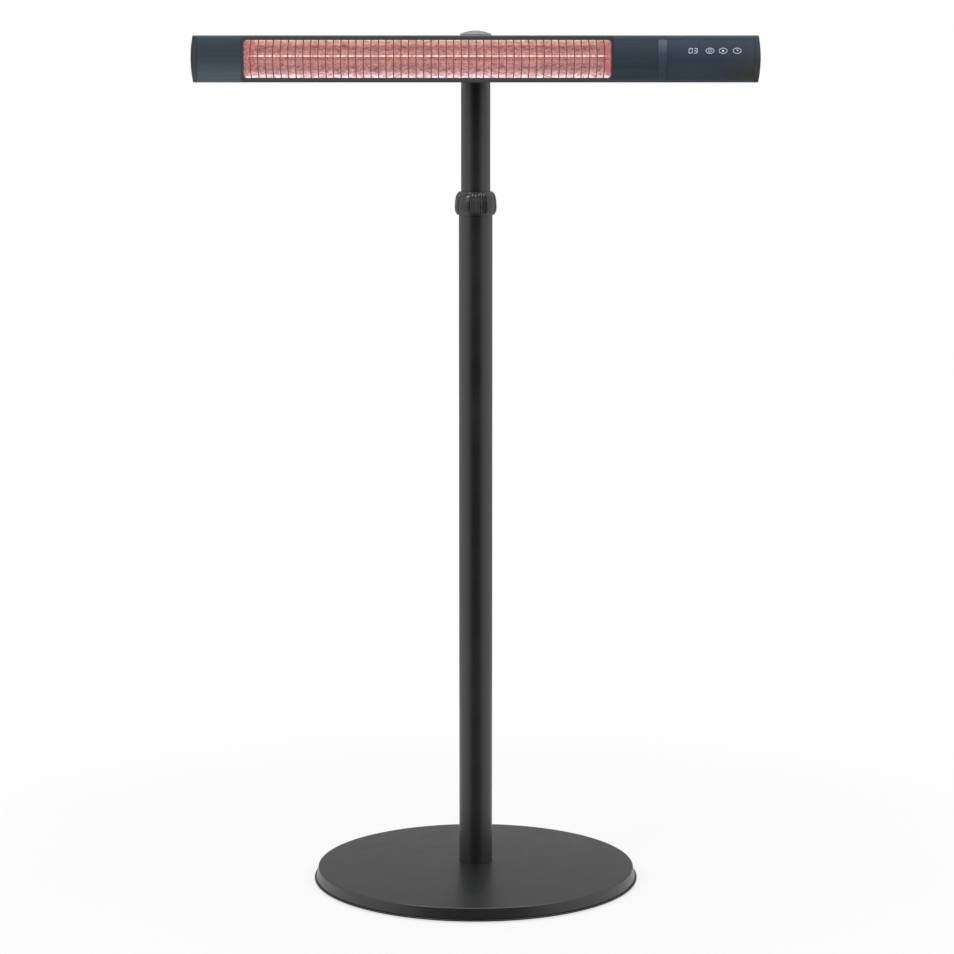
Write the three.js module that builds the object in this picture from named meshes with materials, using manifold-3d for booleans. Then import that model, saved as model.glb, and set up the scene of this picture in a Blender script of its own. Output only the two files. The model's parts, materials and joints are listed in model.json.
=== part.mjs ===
// Infrared patio heater on a telescopic floor stand.
// Millimetres, +Z up, the heater faces -Y and +X is to the right of its face.
// The origin is the centre of the footprint on the ground.

import * as THREE from 'three';
import { mergeVertices } from 'three/addons/utils/BufferGeometryUtils.js';
import Module from 'manifold-3d';

const wasm = await Module();
wasm.setup();

// ---- Clearances ---------------------------------------------------------------------------

const SEAT = 0.3;             // between a piece and what carries it
const RUNNING = 0.3;          // between a turning or sliding piece and its guide
const OVER = 1;               // how far a cutter reaches past what it cuts
const FUSE = 0.5;             // how far shapes that are joined reach into each other

// ---- Base: domed pressed cover over a steel weight, on a plate with rubber pads -----------

const FOOT_H = 2.5;           // underside of the plate above the ground
const FOOT_R = 12;
const FOOT_INSET = 22;        // pad centre in from the plate's edge
const FOOT_COUNT = 6;
const PLATE_R = 250;
const PLATE_T = 2.5;
const PLATE_EDGE = 0.8;       // chamfer of the plate's upper edge
const BOLT_ROOM = 2;          // round the bolt's flange in the plate
const LIP = 2.8;              // plate edge showing outside the cover's skirt
const SKIRT_FLARE = 3.4;      // the skirt leans in by this much up to the rim
const RIM_H = 21.5;           // top edge of the skirt above the ground
const RIM_ROUND = 2.2;
const DOME_RISE = 6.8;        // centre of the cover above its rim
const DOME_STATIONS = [0.5, 0.8];
const COVER_WALL = 1.5;
const WEIGHT_INSET = 30;      // weight's edge in from the skirt
const WEIGHT_T = 8;

// ---- Column -------------------------------------------------------------------------------

const LOWER_R = 25.4;
const TUBE_WALL = 1.5;
const LOWER_TUBE_L = 1026;
const UPPER_R = 22;
const UPPER_TUBE_L = 858;
const EXTENSION = 244;        // upper tube's end above the lower tube's end, at rest
const FOOT_FLANGE_R = 60;
const FOOT_FLANGE_T = 4;
const FOOT_PLUG_H = 38;       // spigot that fills the lower tube's foot
const BASE_BOLT_R = 6;
const BASE_BOLT_REACH = 30;   // bolt's tip above the flange
const BOLT_FLANGE_R = 12;
const BOLT_FLANGE_T = 1.4;
const BOLT_HEX_R = 9.5;
const BOLT_HEX_H = 2.2;
const SLIDER_BORE = 12;       // way for the lead through the slider
const SLIDER_FLANGE_H = 18;
const SLIDER_SPIGOT_H = 26;

// ---- Locking collar -----------------------------------------------------------------------

const COLLAR_R = 31.8;
const COLLAR_H = 34.5;
const COLLAR_BELOW = 15.5;    // collar's foot below the lower tube's end
const FERRULE_WALL = 1.3;
const FERRULE_H = 25.5;
const FERRULE_LIFT = 2;       // ferrule's foot above the collar's foot
const COLLET_H = 14.7;
const COLLET_WALL = 2;
const COLLET_SLIT = 4;
const LUG_COUNT = 3;
const LUG_HALF = 34;          // degrees
const LUG_EDGE = 5;           // degrees of blend beside a lug
const LUG_FIRST = -22;        // degrees from +X to the first lug's middle
const VALLEY_DEPTH = 2.2;
const RIB_HEIGHT = 0.9;
const RIB_PITCH = 8;          // degrees
const GROOVE_HALF = 5;        // degrees: half the upright groove in the middle of a lug
const GROOVE_EDGE = 3;
const GROOVE_DEPTH = 1.2;
const FADE_LOW = 0.18;        // share of the height over which the relief fades out
const FADE_HIGH = 0.25;
const COLLAR_SEGMENTS = 180;
// Barrel outline: share of the height, then how far in from COLLAR_R
const BARREL = [[0, 3.7], [0.07, 2], [0.18, 0.5], [0.32, 0], [0.6, 0.6], [0.82, 1.9],
  [0.94, 4.3], [1, 6.7]];

// ---- Tilt joint between the column and the head -------------------------------------------

const CLAMP_WALL = 4.2;
const CLAMP_H = 44;
const CLAMP_DROP = 4;         // clamp's top below the upper tube's end
const HINGE_REACH = 18.5;     // hinge axis in front of the clamp
const KNUCKLE_R = 10.5;
const KNUCKLE_HALF = 12;
const WEB_HALF = 8;
const WEB_HALF_H = 9;
const WASHER_R = 10;
const WASHER_T = 1.8;
const EAR_T = 3;
const EAR_R = 11;
const HINGE_TO_HEAD = 17;     // hinge axis behind which the head's back lies
const BRACKET_T = 3;
const BRACKET_HALF_W = 60;
const BRACKET_HALF_H = 20;
const BRACKET_SCREW_X = 50;
const BRACKET_SCREW_Z = 12;
const TILT_BOLT_R = 4;
const TILT_HEAD_R = 6.5;
const TILT_HEAD_T = 5;
const KNOB_R = 12.4;
const KNOB_T = 14;
const KNOB_HUB_R = 7;
const KNOB_HUB_T = 4;
const KNOB_LOBES = 5;
const KNOB_LOBE_DEPTH = 1.3;
const KNOB_HOLE = 10.5;       // blind hole in the grip
const KNOB_STEPS = 40;
const BOLT_END_GAP = 0.7;
const CAP_R = 23.5;
const CAP_RIM_H = 9.5;        // straight edge of the pole cap
const CAP_DOME_H = 5;
const CAP_STATIONS = [0, 0.45, 0.8, 1];
const CAP_CROWN = 1;          // rise of the hollow's roof
const CAP_SPIGOT_H = 10;
const CAP_WALL = 2.2;

// ---- Heater head: an extruded housing with a front slot -----------------------------------

const HEAD_DEPTH = 55;
const HEAD_H = 68.2;
const HEAD_DROP = 26.7;       // head's middle below the upper tube's end
const SHELL_WALL = 1.8;
const BACK_ROUND = 10;
const FRONT_ROUND = 2.5;
const INNER_ROUND = 0.5;
const RAIL_H = 6.2;           // front rail above the slot
const LOW_RAIL_H = 4;         // front rail below the slot
const GROOVE_RIB_T = 1.5;
const GROOVE_RIB_H = 1.7;
const PANEL_T = 2;
const SEAM = 0.5;             // between neighbouring front panels
const LEFT_PANEL_W = 64.4;
const WINDOW_W = 536.5;
const WINDOW_ROUND = 5.5;
const FRAME_BAR = 3;
const FRAME_SHOW = 0.6;       // frame seen inside the upper rail
const FRAME_CORNER = 0.5;
const RIGHT_PANEL_W = 64.2;
const RECEIVER_W = 13.4;
const CONTROL_W = 126.7;
const END_CAP_W = 9;
const END_BULGE = 3.4;
const END_CORNER = 1.2;       // chamfer above and below the bulge
const END_STEPS = 8;
const BOSS_R = 4.6;
const BOSS_INSET = 6.4;       // boss axis in from the housing's outer faces
const CAP_SCREW_R = 1.6;
const CAP_SCREW_HEAD_R = 3.3;
const CAP_SCREW_HEAD_T = 2;
const CAP_SCREW_SINK = 2.8;   // counterbore measured from the end cap's highest point inwards
const CAP_SCREW_L = 20;
const PANEL_SCREW_R = 2;
const PANEL_SCREW_HEAD_R = 4;
const PANEL_SCREW_HEAD_T = 2.2;
const PANEL_SCREW_L = 9.6;

// ---- Emitter ------------------------------------------------------------------------------

const WIRE_COUNT = 48;
const WIRE_R = 0.8;
const WIRE_SIDES = 4;
const WIRE_MARGIN = 11.6;     // first and last wire in from the window's ends
const ROD_R = 1.1;
const ROD_OVER = 1;           // rods beyond the window's ends
const ROD_SIDES = 6;
const REFLECTOR_T = 0.8;
const REFLECTOR_DEPTH = 32;
const REFLECTOR_POWER = 2.4;
const REFLECTOR_FLANGE = 4;
const REFLECTOR_OVER = 2;     // reflector's ends beyond the window
const TROUGH_STEPS = 16;
const END_PLATE_STEPS = 12;
const END_PLATE_T = 1.2;
const END_PLATE_LEAN = 13;    // end plates lean inwards by this much over their depth
const QUARTZ_R = 6.5;
const QUARTZ_WALL = 1;
const QUARTZ_OVER = 13;       // tube's ends beyond the window
const QUARTZ_FROM_APEX = 14.7;
const FILAMENT_R = 1.9;
const FILAMENT_WIRE_R = 0.45;
const FILAMENT_CURLS = 40;
const FILAMENT_TAIL = 22;
const CURL_STEPS = 8;
const CURL_SIDES = 5;
const SOCKET_R = 9.5;
const SOCKET_L = 20;
const SOCKET_GRIP = 7;
const CLIP_HALF_W = 5;
const CLIP_HALF_H = 8;
const CLIP_GRIP = 3.5;

// ---- Electrics inside the head ------------------------------------------------------------

const BOARD_T = 1.6;
const BOARD_HALF_H = 21;
const BOARD_START = 2;        // board's end in from the receiver strip's left edge
const CARRIER_T = 2;
const CARRIER_INSET = 10;     // tray's end in from the control glass's left edge
const EDGE_ROOM = 1;          // beyond the boards' edges
const POST = 6;
const POWER_POST_H = 14;
const POWER_INSET = 9;
const RELAY = [20, 16, 12];   // width, height, and how far it stands off the board
const HEAT_SINK = [26, 16, 10];
const PARTS_IN = 7;           // both in from the board's ends
const DISPLAY_DEPTH = 7;
const DISPLAY_W = 18.5;
const DISPLAY_H = 13;
const DISPLAY_X = 37.1;       // display's middle from the control glass's left edge
const ICON_X = [61.7, 80.7, 101.2];
const ICON_Z = 11.8;
const TOUCH_SPRING_R = 4;
const IR_EYE_R = 3;
const TERMINAL_W = 30;
const TERMINAL_H = 13;
const TERMINAL_D = 16;
const SWITCH_W = 20;
const SWITCH_D = 14;
const CUTOUT_R = 8;
const CUTOUT_T = 7.5;
const CUTOUT_X = -120;
const GLAND_R = 7.7;
const GLAND_FLANGE_R = 10.5;
const GLAND_FLANGE_T = 3;
const GLAND_TAIL = 15;
const GLAND_TIP_R = 5;
const GLAND_BORE = 3.6;
const GLAND_DROP = 12;        // gland's axis below the head's middle
const GLAND_SHIFT = 9.4;      // gland's axis from the receiver strip's left edge
const GLAND_INSIDE = 6;       // gland's reach inside the housing
const GLAND_NECK = 1;
const LEAD_R = 1.5;
const LEAD_DEPTH = 8;         // leads' axis in front of the housing's back wall
const LEAD_DROP = 17;
const LEAD_SIDES = 6;
const LEAD_STEPS = 12;

// ---- How finely round shapes are cut ------------------------------------------------------

const DISC_SEGMENTS = 48;     // sides of the base
const CURVE_SEGMENTS = 28;    // sides of the column's pieces
const ROD_SEGMENTS = 20;
const SMALL_SEGMENTS = 12;
const SHANK_SEGMENTS = 8;
const HEX = 6;
const CORNER_SEGMENTS = 4;    // steps round a corner

// ---- Places worked out from the sizes -----------------------------------------------------

const plateTop = FOOT_H + PLATE_T;
const weightBottom = plateTop + SEAT;
const weightTop = weightBottom + WEIGHT_T;
const flangeBottom = weightTop + SEAT;
const flangeTop = flangeBottom + FOOT_FLANGE_T;
const lowerTubeBottom = flangeTop + SEAT;
const lowerTubeTop = lowerTubeBottom + LOWER_TUBE_L;
const skirtR = PLATE_R - LIP;
const rimR = skirtR - SKIRT_FLARE;
const lowerBore = LOWER_R - TUBE_WALL;
const upperBore = UPPER_R - TUBE_WALL;

const mastTop = lowerTubeTop + EXTENSION;
const upperTubeBottom = mastTop - UPPER_TUBE_L;
const collarFoot = lowerTubeTop - COLLAR_BELOW;
const collarTop = collarFoot + COLLAR_H;
const ferruleFoot = collarFoot + FERRULE_LIFT;
const ferruleTop = ferruleFoot + FERRULE_H;
const ferruleR = LOWER_R + SEAT + FERRULE_WALL;
const collarBore = ferruleR + RUNNING;

const clampR = UPPER_R + SEAT + CLAMP_WALL;
const hingeY = -(clampR + HINGE_REACH);
const headZ = mastTop - HEAD_DROP;
const headBack = hingeY - HINGE_TO_HEAD;
const headFront = headBack - HEAD_DEPTH;
const halfH = HEAD_H / 2;
const innerHalfH = halfH - SHELL_WALL;
const innerBack = headBack - SHELL_WALL;
const slotHalfH = halfH - RAIL_H;
const slotLow = halfH - LOW_RAIL_H;
const washerX = KNUCKLE_HALF + SEAT;
const earX = washerX + WASHER_T + SEAT;
const knobX = earX + EAR_T + SEAT;

const frameW = WINDOW_W + 2 * FRAME_BAR;
const shellL = LEFT_PANEL_W + frameW + RIGHT_PANEL_W + RECEIVER_W + CONTROL_W + 4 * SEAM;
const shellHalf = shellL / 2;
const headHalf = shellHalf + SEAT + END_CAP_W;
const leftPanelX = -shellHalf;
const frameX = leftPanelX + LEFT_PANEL_W + SEAM;
const windowX = frameX + FRAME_BAR;
const windowEnd = windowX + WINDOW_W;
const rightPanelX = frameX + frameW + SEAM;
const receiverX = rightPanelX + RIGHT_PANEL_W + SEAM;
const controlX = receiverX + RECEIVER_W + SEAM;
const controlEnd = controlX + CONTROL_W;

const panelFront = headFront + SHELL_WALL + SEAT;
const panelBack = panelFront + PANEL_T;
const panelHalfH = innerHalfH - SEAT;
const ribFront = panelBack + SEAT;
const ribTip = innerHalfH - GROOVE_RIB_H;
const rodY = panelBack + SEAT + ROD_R;
const rodZ = ribTip - SEAT - ROD_R;
const flangeFront = rodY + ROD_R + SEAT;
const troughFront = flangeFront + REFLECTOR_T;
const troughHalfH = panelHalfH - REFLECTOR_FLANGE;
const apexY = troughFront + REFLECTOR_DEPTH;
const quartzY = apexY - QUARTZ_FROM_APEX;
const quartzX = windowX - QUARTZ_OVER;
const quartzEnd = windowEnd + QUARTZ_OVER;
const leadY = innerBack - LEAD_DEPTH;
const leadZ = headZ - LEAD_DROP;

// ---- Finishes -----------------------------------------------------------------------------

const finish = (color, roughness, metalness) => new THREE.MeshStandardMaterial({
  color,
  roughness,
  metalness,
});
const BLACK_COAT = finish(0x3a3b3d, 0.55, 0.2);
const BLACK_PLASTIC = finish(0x2b2c2f, 0.6, 0);
const BLUE_GREY_COAT = finish(0x38444f, 0.4, 0.5);
const CONTROL_GLASS = finish(0x35404c, 0.12, 0);
const SMOKED_PLASTIC = finish(0x4a5666, 0.2, 0);
const POLISHED_RED = finish(0xb8776f, 0.18, 0.9);
const DARK_WIRE = finish(0x5a3a38, 0.45, 0.7);
const QUARTZ = finish(0xd9a39a, 0.08, 0);
const GLOWING_WIRE = finish(0xe2583a, 0.5, 0.3);
const CERAMIC = finish(0xd9d4c8, 0.7, 0);
const STEEL = finish(0x9a9c9f, 0.35, 0.9);
const RUBBER = finish(0x1c1c1d, 0.9, 0);
const SLEEVE = finish(0xcac8c4, 0.7, 0);
const GREY_CAP = finish(0xb9bbbd, 0.5, 0.1);
const BOARD_GREEN = finish(0x24513a, 0.6, 0);
const WHITE_PLASTIC = finish(0xd6d5d0, 0.6, 0);

// ---- Geometry helpers ---------------------------------------------------------------------

// Strips a geometry to merged positions, so that it is one closed surface.
function welded(geometry) {
  const copy = geometry.clone();
  copy.deleteAttribute('normal');
  copy.deleteAttribute('uv');
  return mergeVertices(copy, 1e-4);
}

function signedVolume(position, index) {
  const [a, b, c] = [new THREE.Vector3(), new THREE.Vector3(), new THREE.Vector3()];
  let volume = 0;
  for (let i = 0; i < index.length; i += 3) {
    a.fromBufferAttribute(position, index[i]);
    b.fromBufferAttribute(position, index[i + 1]);
    c.fromBufferAttribute(position, index[i + 2]);
    volume += a.dot(b.cross(c)) / 6;
  }
  return volume;
}

// Turns a closed geometry into a solid, with its faces pointing out.
function solid(geometry) {
  const mesh = welded(geometry);
  const { position } = mesh.attributes;
  const index = Uint32Array.from(mesh.index.array);
  if (signedVolume(position, index) < 0) {
    for (let i = 0; i < index.length; i += 3) {
      [index[i], index[i + 1]] = [index[i + 1], index[i]];
    }
  }
  return new wasm.Manifold(new wasm.Mesh({
    numProp: 3,
    vertProperties: Float32Array.from(position.array),
    triVerts: index,
  }));
}

function toGeometry(body) {
  const mesh = body.getMesh();
  const geometry = new THREE.BufferGeometry();
  geometry.setAttribute('position', new THREE.BufferAttribute(mesh.vertProperties, 3));
  geometry.setIndex(new THREE.BufferAttribute(mesh.triVerts, 1));
  geometry.computeVertexNormals();
  return geometry;
}

// A closed profile of [radius, height] points turned about the vertical axis.
function turned(profile, segments = CURVE_SEGMENTS) {
  const points = profile.map(([r, z]) => new THREE.Vector2(r, z));
  if (profile[0][0] > 0) points.push(points[0].clone());
  return solid(new THREE.LatheGeometry(points, segments).rotateX(Math.PI / 2));
}

// The same profile turned about a line along X through y, z; heights become x.
function turnedX(profile, y, z, segments = CURVE_SEGMENTS) {
  const points = profile.map(([r, x]) => new THREE.Vector2(r, x));
  if (profile[0][0] > 0) points.push(points[0].clone());
  const lathe = new THREE.LatheGeometry(points, segments).rotateZ(-Math.PI / 2);
  return solid(lathe.translate(0, y, z));
}

// The same profile turned about a line along Y through x, z; heights become y.
function turnedY(profile, x, z, segments = CURVE_SEGMENTS) {
  const points = profile.map(([r, y]) => new THREE.Vector2(r, y));
  if (profile[0][0] > 0) points.push(points[0].clone());
  return solid(new THREE.LatheGeometry(points, segments).translate(x, 0, z));
}

const ringProfile = (rIn, rOut, a, b) => [[rIn, a], [rOut, a], [rOut, b], [rIn, b]];
const rodProfile = (r, a, b) => [[0, a], [r, a], [r, b], [0, b]];

function box(x0, x1, y0, y1, z0, z1) {
  const shape = new THREE.BoxGeometry(x1 - x0, y1 - y0, z1 - z0);
  return solid(shape.translate((x0 + x1) / 2, (y0 + y1) / 2, (z0 + z1) / 2));
}

const extrusion = (depth, curveSegments = CORNER_SEGMENTS) => ({
  depth,
  curveSegments,
  bevelEnabled: false,
});

// Carries a flat shape drawn in (y, z) along X.
function alongX(shape, x0, x1) {
  const geometry = new THREE.ExtrudeGeometry(shape, extrusion(x1 - x0));
  const turn = new THREE.Matrix4().makeBasis(
    new THREE.Vector3(0, 1, 0),
    new THREE.Vector3(0, 0, 1),
    new THREE.Vector3(1, 0, 0),
  );
  return solid(geometry.applyMatrix4(turn).translate(x0, 0, 0));
}

// Carries a flat shape drawn in (x, z) along Y, from y0 at the front to y1 at the back.
function alongY(shape, y0, y1) {
  const geometry = new THREE.ExtrudeGeometry(shape, extrusion(y1 - y0));
  return solid(geometry.rotateX(Math.PI / 2).translate(0, y1, 0));
}

// A rectangle with its own rounding at each pair of corners: left pair, right pair.
function roundedRect(u0, u1, v0, v1, leftR, rightR, Kind = THREE.Shape) {
  const path = new Kind();
  path.moveTo(u0 + leftR, v0);
  path.lineTo(u1 - rightR, v0);
  path.absarc(u1 - rightR, v0 + rightR, rightR, -Math.PI / 2, 0, false);
  path.lineTo(u1, v1 - rightR);
  path.absarc(u1 - rightR, v1 - rightR, rightR, 0, Math.PI / 2, false);
  path.lineTo(u0 + leftR, v1);
  path.absarc(u0 + leftR, v1 - leftR, leftR, Math.PI / 2, Math.PI, false);
  path.lineTo(u0, v0 + leftR);
  path.absarc(u0 + leftR, v0 + leftR, leftR, Math.PI, 1.5 * Math.PI, false);
  return path;
}

// Joins rings of points into one surface: a torus if wrapped, else a tube with closed ends.
function loft(rings, wrapped) {
  const sides = rings[0].length;
  const points = rings.flat();
  const index = [];
  const spans = wrapped ? rings.length : rings.length - 1;
  for (let i = 0; i < spans; i += 1) {
    const next = (i + 1) % rings.length;
    for (let j = 0; j < sides; j += 1) {
      const k = (j + 1) % sides;
      const [a, b, c, d] = [i * sides + j, i * sides + k, next * sides + k, next * sides + j];
      index.push(a, b, c, a, c, d);
    }
  }
  if (!wrapped) {
    const last = (rings.length - 1) * sides;
    for (let j = 1; j < sides - 1; j += 1) {
      index.push(0, j + 1, j, last, last + j, last + j + 1);
    }
  }
  const geometry = new THREE.BufferGeometry().setFromPoints(points);
  geometry.setIndex(index);
  return solid(geometry);
}

// A round tube through points, its section carried without twist.
function tubeThrough(points, radius, sides) {
  const tangents = points.map((_, i) => {
    const after = points[Math.min(i + 1, points.length - 1)];
    const before = points[Math.max(i - 1, 0)];
    return after.clone().sub(before).normalize();
  });
  let normal = new THREE.Vector3(0, 0, 1).cross(tangents[0]).normalize();
  const rings = points.map((point, i) => {
    normal = normal.clone().addScaledVector(tangents[i], -normal.dot(tangents[i])).normalize();
    const across = tangents[i].clone().cross(normal);
    return Array.from({ length: sides }, (_, j) => {
      const turn = (2 * Math.PI * j) / sides;
      return point.clone()
        .addScaledVector(normal, radius * Math.cos(turn))
        .addScaledVector(across, radius * Math.sin(turn));
    });
  });
  return loft(rings, false);
}

const object = new THREE.Group();

function addPiece(name, body, material) {
  const mesh = new THREE.Mesh(toGeometry(body), material);
  mesh.name = name;
  object.add(mesh);
}

// ---- Base ---------------------------------------------------------------------------------

// Height of the cover's outer face: a shallow paraboloid that ends at the rim.
const coverTop = (r) => RIM_H + DOME_RISE * (1 - (r / rimR) ** 2);

function baseCover() {
  const hole = LOWER_R + 2 * SEAT;
  const shoulder = rimR - RIM_ROUND;
  const stations = [hole, ...DOME_STATIONS.map((share) => share * rimR), shoulder];
  const outer = stations.map((r) => [r, coverTop(r)]);
  for (const turn of [Math.PI / 4, 0]) {
    const drop = RIM_ROUND * (1 - Math.sin(turn));
    outer.push([shoulder + RIM_ROUND * Math.cos(turn), RIM_H - drop]);
  }
  outer.push([skirtR, weightBottom]);
  const innerSkirt = skirtR - COVER_WALL;
  const innerRim = rimR - COVER_WALL;
  const inner = stations.slice(0, 2).map((r) => [r, coverTop(r) - COVER_WALL]);
  inner.push([innerRim, RIM_H - COVER_WALL], [innerSkirt, weightBottom]);
  return turned([...outer, ...inner.reverse()], DISC_SEGMENTS);
}

function basePlate() {
  const hole = BOLT_FLANGE_R + BOLT_ROOM;
  const disc = ringProfile(hole, PLATE_R, FOOT_H, plateTop);
  disc.splice(2, 1, [PLATE_R, plateTop - PLATE_EDGE], [PLATE_R - PLATE_EDGE, plateTop]);
  return turned(disc, DISC_SEGMENTS);
}

function footPads() {
  const circleR = PLATE_R - FOOT_INSET;
  for (let i = 0; i < FOOT_COUNT; i += 1) {
    const turn = ((i + 0.5) * 2 * Math.PI) / FOOT_COUNT;
    const pad = turned(rodProfile(FOOT_R, 0, FOOT_H - SEAT), SMALL_SEGMENTS);
    const placed = pad.translate([circleR * Math.cos(turn), circleR * Math.sin(turn), 0]);
    addPiece(`foot_pad_${i + 1}`, placed, RUBBER);
  }
}

function tubeFoot() {
  const bore = BASE_BOLT_R + SEAT;
  const plugR = lowerBore - SEAT;
  const plugTop = flangeTop + FOOT_PLUG_H;
  return turned([
    [bore, flangeBottom], [FOOT_FLANGE_R, flangeBottom], [FOOT_FLANGE_R, flangeTop],
    [plugR, flangeTop], [plugR, plugTop], [bore, plugTop],
  ]);
}

function baseBolt() {
  const seatZ = weightBottom - SEAT;
  const flange = seatZ - BOLT_FLANGE_T;
  const washerFace = turned(rodProfile(BOLT_FLANGE_R, flange, seatZ), SMALL_SEGMENTS);
  const hex = turned(rodProfile(BOLT_HEX_R, flange - BOLT_HEX_H, flange), HEX);
  const tip = flangeTop + BASE_BOLT_REACH;
  const shank = turned(rodProfile(BASE_BOLT_R, flange, tip), SMALL_SEGMENTS);
  return washerFace.add(hex).add(shank);
}

function addBase() {
  const weight = ringProfile(BASE_BOLT_R + SEAT, skirtR - WEIGHT_INSET, weightBottom, weightTop);
  addPiece('base_cover', baseCover(), BLACK_COAT);
  addPiece('base_weight', turned(weight, DISC_SEGMENTS), STEEL);
  addPiece('base_plate', basePlate(), BLACK_COAT);
  footPads();
  addPiece('tube_foot', tubeFoot(), STEEL);
  addPiece('base_bolt', baseBolt(), STEEL);
}

// ---- Column and locking collar ------------------------------------------------------------

const smooth = (t) => {
  const s = THREE.MathUtils.clamp(t, 0, 1);
  return s * s * (3 - 2 * s);
};

function barrelInset(share) {
  const i = Math.max(1, BARREL.findIndex(([at]) => at >= share));
  const [[a, insetA], [b, insetB]] = [BARREL[i - 1], BARREL[i]];
  return THREE.MathUtils.mapLinear(share, a, b, insetA, insetB);
}

// Radius of the collar's grip: smooth lugs, each with an upright groove, and ribbed valleys
// between them. All relief fades out at both ends.
function collarRadius(degrees, share) {
  const pitch = 360 / LUG_COUNT;
  const fromLug = Math.abs(((degrees - LUG_FIRST) % pitch + 1.5 * pitch) % pitch - pitch / 2);
  const valley = smooth((fromLug - LUG_HALF) / LUG_EDGE);
  const rib = 0.5 + 0.5 * Math.cos((2 * Math.PI * (fromLug - pitch / 2)) / RIB_PITCH);
  const groove = smooth((GROOVE_HALF + GROOVE_EDGE - fromLug) / GROOVE_EDGE);
  const relief = valley * (VALLEY_DEPTH - RIB_HEIGHT * rib) + groove * GROOVE_DEPTH;
  const fade = smooth(share / FADE_LOW) * smooth((1 - share) / FADE_HIGH);
  return COLLAR_R - barrelInset(share) - fade * relief;
}

function lockingCollar() {
  const ring = (z, radiusAt) => Array.from({ length: COLLAR_SEGMENTS }, (_, j) => {
    const turn = (2 * Math.PI * j) / COLLAR_SEGMENTS;
    const r = radiusAt(THREE.MathUtils.radToDeg(turn));
    return new THREE.Vector3(r * Math.cos(turn), r * Math.sin(turn), z);
  });
  const outer = BARREL.map(([share]) => {
    const z = collarFoot + share * COLLAR_H;
    return ring(z, (degrees) => collarRadius(degrees, share));
  });
  const boreTop = ferruleTop + RUNNING;
  const lipBore = UPPER_R + 2 * RUNNING;
  const inner = [
    ring(collarTop, () => lipBore),
    ring(boreTop, () => collarBore),
    ring(collarFoot, () => collarBore),
  ];
  return loft([...outer, ...inner], true);
}

function collarFerrule() {
  const bore = LOWER_R + SEAT;
  const upperBoreR = UPPER_R + RUNNING + COLLET_WALL + SEAT;
  const step = lowerTubeTop + SEAT;
  return turned([
    [bore, ferruleFoot], [ferruleR, ferruleFoot], [ferruleR, ferruleTop],
    [upperBoreR, ferruleTop], [upperBoreR, step], [bore, step],
  ]);
}

// A plastic ring with one slit, so that it can close on the upper tube.
function colletRing() {
  const bore = UPPER_R + RUNNING;
  const foot = lowerTubeTop + SEAT;
  const ring = turned(ringProfile(bore, bore + COLLET_WALL, foot, foot + COLLET_H));
  const reach = bore + 2 * COLLET_WALL;
  const [low, high] = [foot - OVER, foot + COLLET_H + OVER];
  return ring.subtract(box(-COLLET_SLIT / 2, COLLET_SLIT / 2, 0, reach, low, high));
}

function mastSlider() {
  const flangeR = lowerBore - RUNNING;
  const spigotR = upperBore - RUNNING;
  const flangeZ = upperTubeBottom - RUNNING;
  const foot = flangeZ - SLIDER_FLANGE_H;
  const spigotTop = flangeZ + SLIDER_SPIGOT_H;
  return turned([
    [SLIDER_BORE, foot], [flangeR, foot], [flangeR, flangeZ],
    [spigotR, flangeZ], [spigotR, spigotTop], [SLIDER_BORE, spigotTop],
  ]);
}

function addColumn() {
  const lowerTube = ringProfile(lowerBore, LOWER_R, lowerTubeBottom, lowerTubeTop);
  const upperTube = ringProfile(upperBore, UPPER_R, upperTubeBottom, mastTop);
  addPiece('lower_tube', turned(lowerTube), BLACK_COAT);
  addPiece('collar_ferrule', collarFerrule(), BLACK_PLASTIC);
  addPiece('collet_ring', colletRing(), WHITE_PLASTIC);
  addPiece('locking_collar', lockingCollar(), BLACK_PLASTIC);
  addPiece('mast_slider', mastSlider(), BLACK_PLASTIC);
  addPiece('upper_tube', turned(upperTube), BLACK_COAT);
}

// ---- Tilt joint ---------------------------------------------------------------------------

const rodX = (r, x0, x1, y, z, segments = ROD_SEGMENTS) => turnedX(
  rodProfile(r, x0, x1),
  y,
  z,
  segments,
);
const rodAlongY = (r, y0, y1, x, z, segments = SMALL_SEGMENTS) => turnedY(
  rodProfile(r, y0, y1),
  x,
  z,
  segments,
);

// Domed cap with a hollow spigot that fits in the upper tube.
function poleCap() {
  const seat = mastTop + SEAT;
  const rim = seat + CAP_RIM_H;
  const sphereR = (CAP_R ** 2 + CAP_DOME_H ** 2) / (2 * CAP_DOME_H);
  const domeZ = (r) => rim + CAP_DOME_H - sphereR + Math.sqrt(sphereR ** 2 - r ** 2);
  const spigotR = upperBore - SEAT;
  const dome = CAP_STATIONS.map((share) => [share * CAP_R, domeZ(share * CAP_R)]);
  return turned([
    ...dome, [CAP_R, seat], [spigotR, seat], [spigotR, mastTop - CAP_SPIGOT_H],
    [spigotR - CAP_WALL, mastTop - CAP_SPIGOT_H], [spigotR - CAP_WALL, rim - CAP_WALL],
    [0, rim - CAP_WALL + CAP_CROWN],
  ]);
}

// Clamp round the upper tube with the middle knuckle of the tilt hinge in front.
function mastBracket() {
  const top = mastTop - CLAMP_DROP;
  const ring = turned(rodProfile(clampR, top - CLAMP_H, top));
  const bore = turned(rodProfile(UPPER_R + SEAT, top - CLAMP_H - OVER, top + OVER));
  const web = box(-WEB_HALF, WEB_HALF, hingeY, 0, headZ - WEB_HALF_H, headZ + WEB_HALF_H);
  const knuckle = rodX(KNUCKLE_R, -KNUCKLE_HALF, KNUCKLE_HALF, hingeY, headZ);
  const reach = KNUCKLE_HALF + OVER;
  const pin = rodX(TILT_BOLT_R + RUNNING, -reach, reach, hingeY, headZ);
  return ring.add(web).add(knuckle).subtract(bore).subtract(pin);
}

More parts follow.
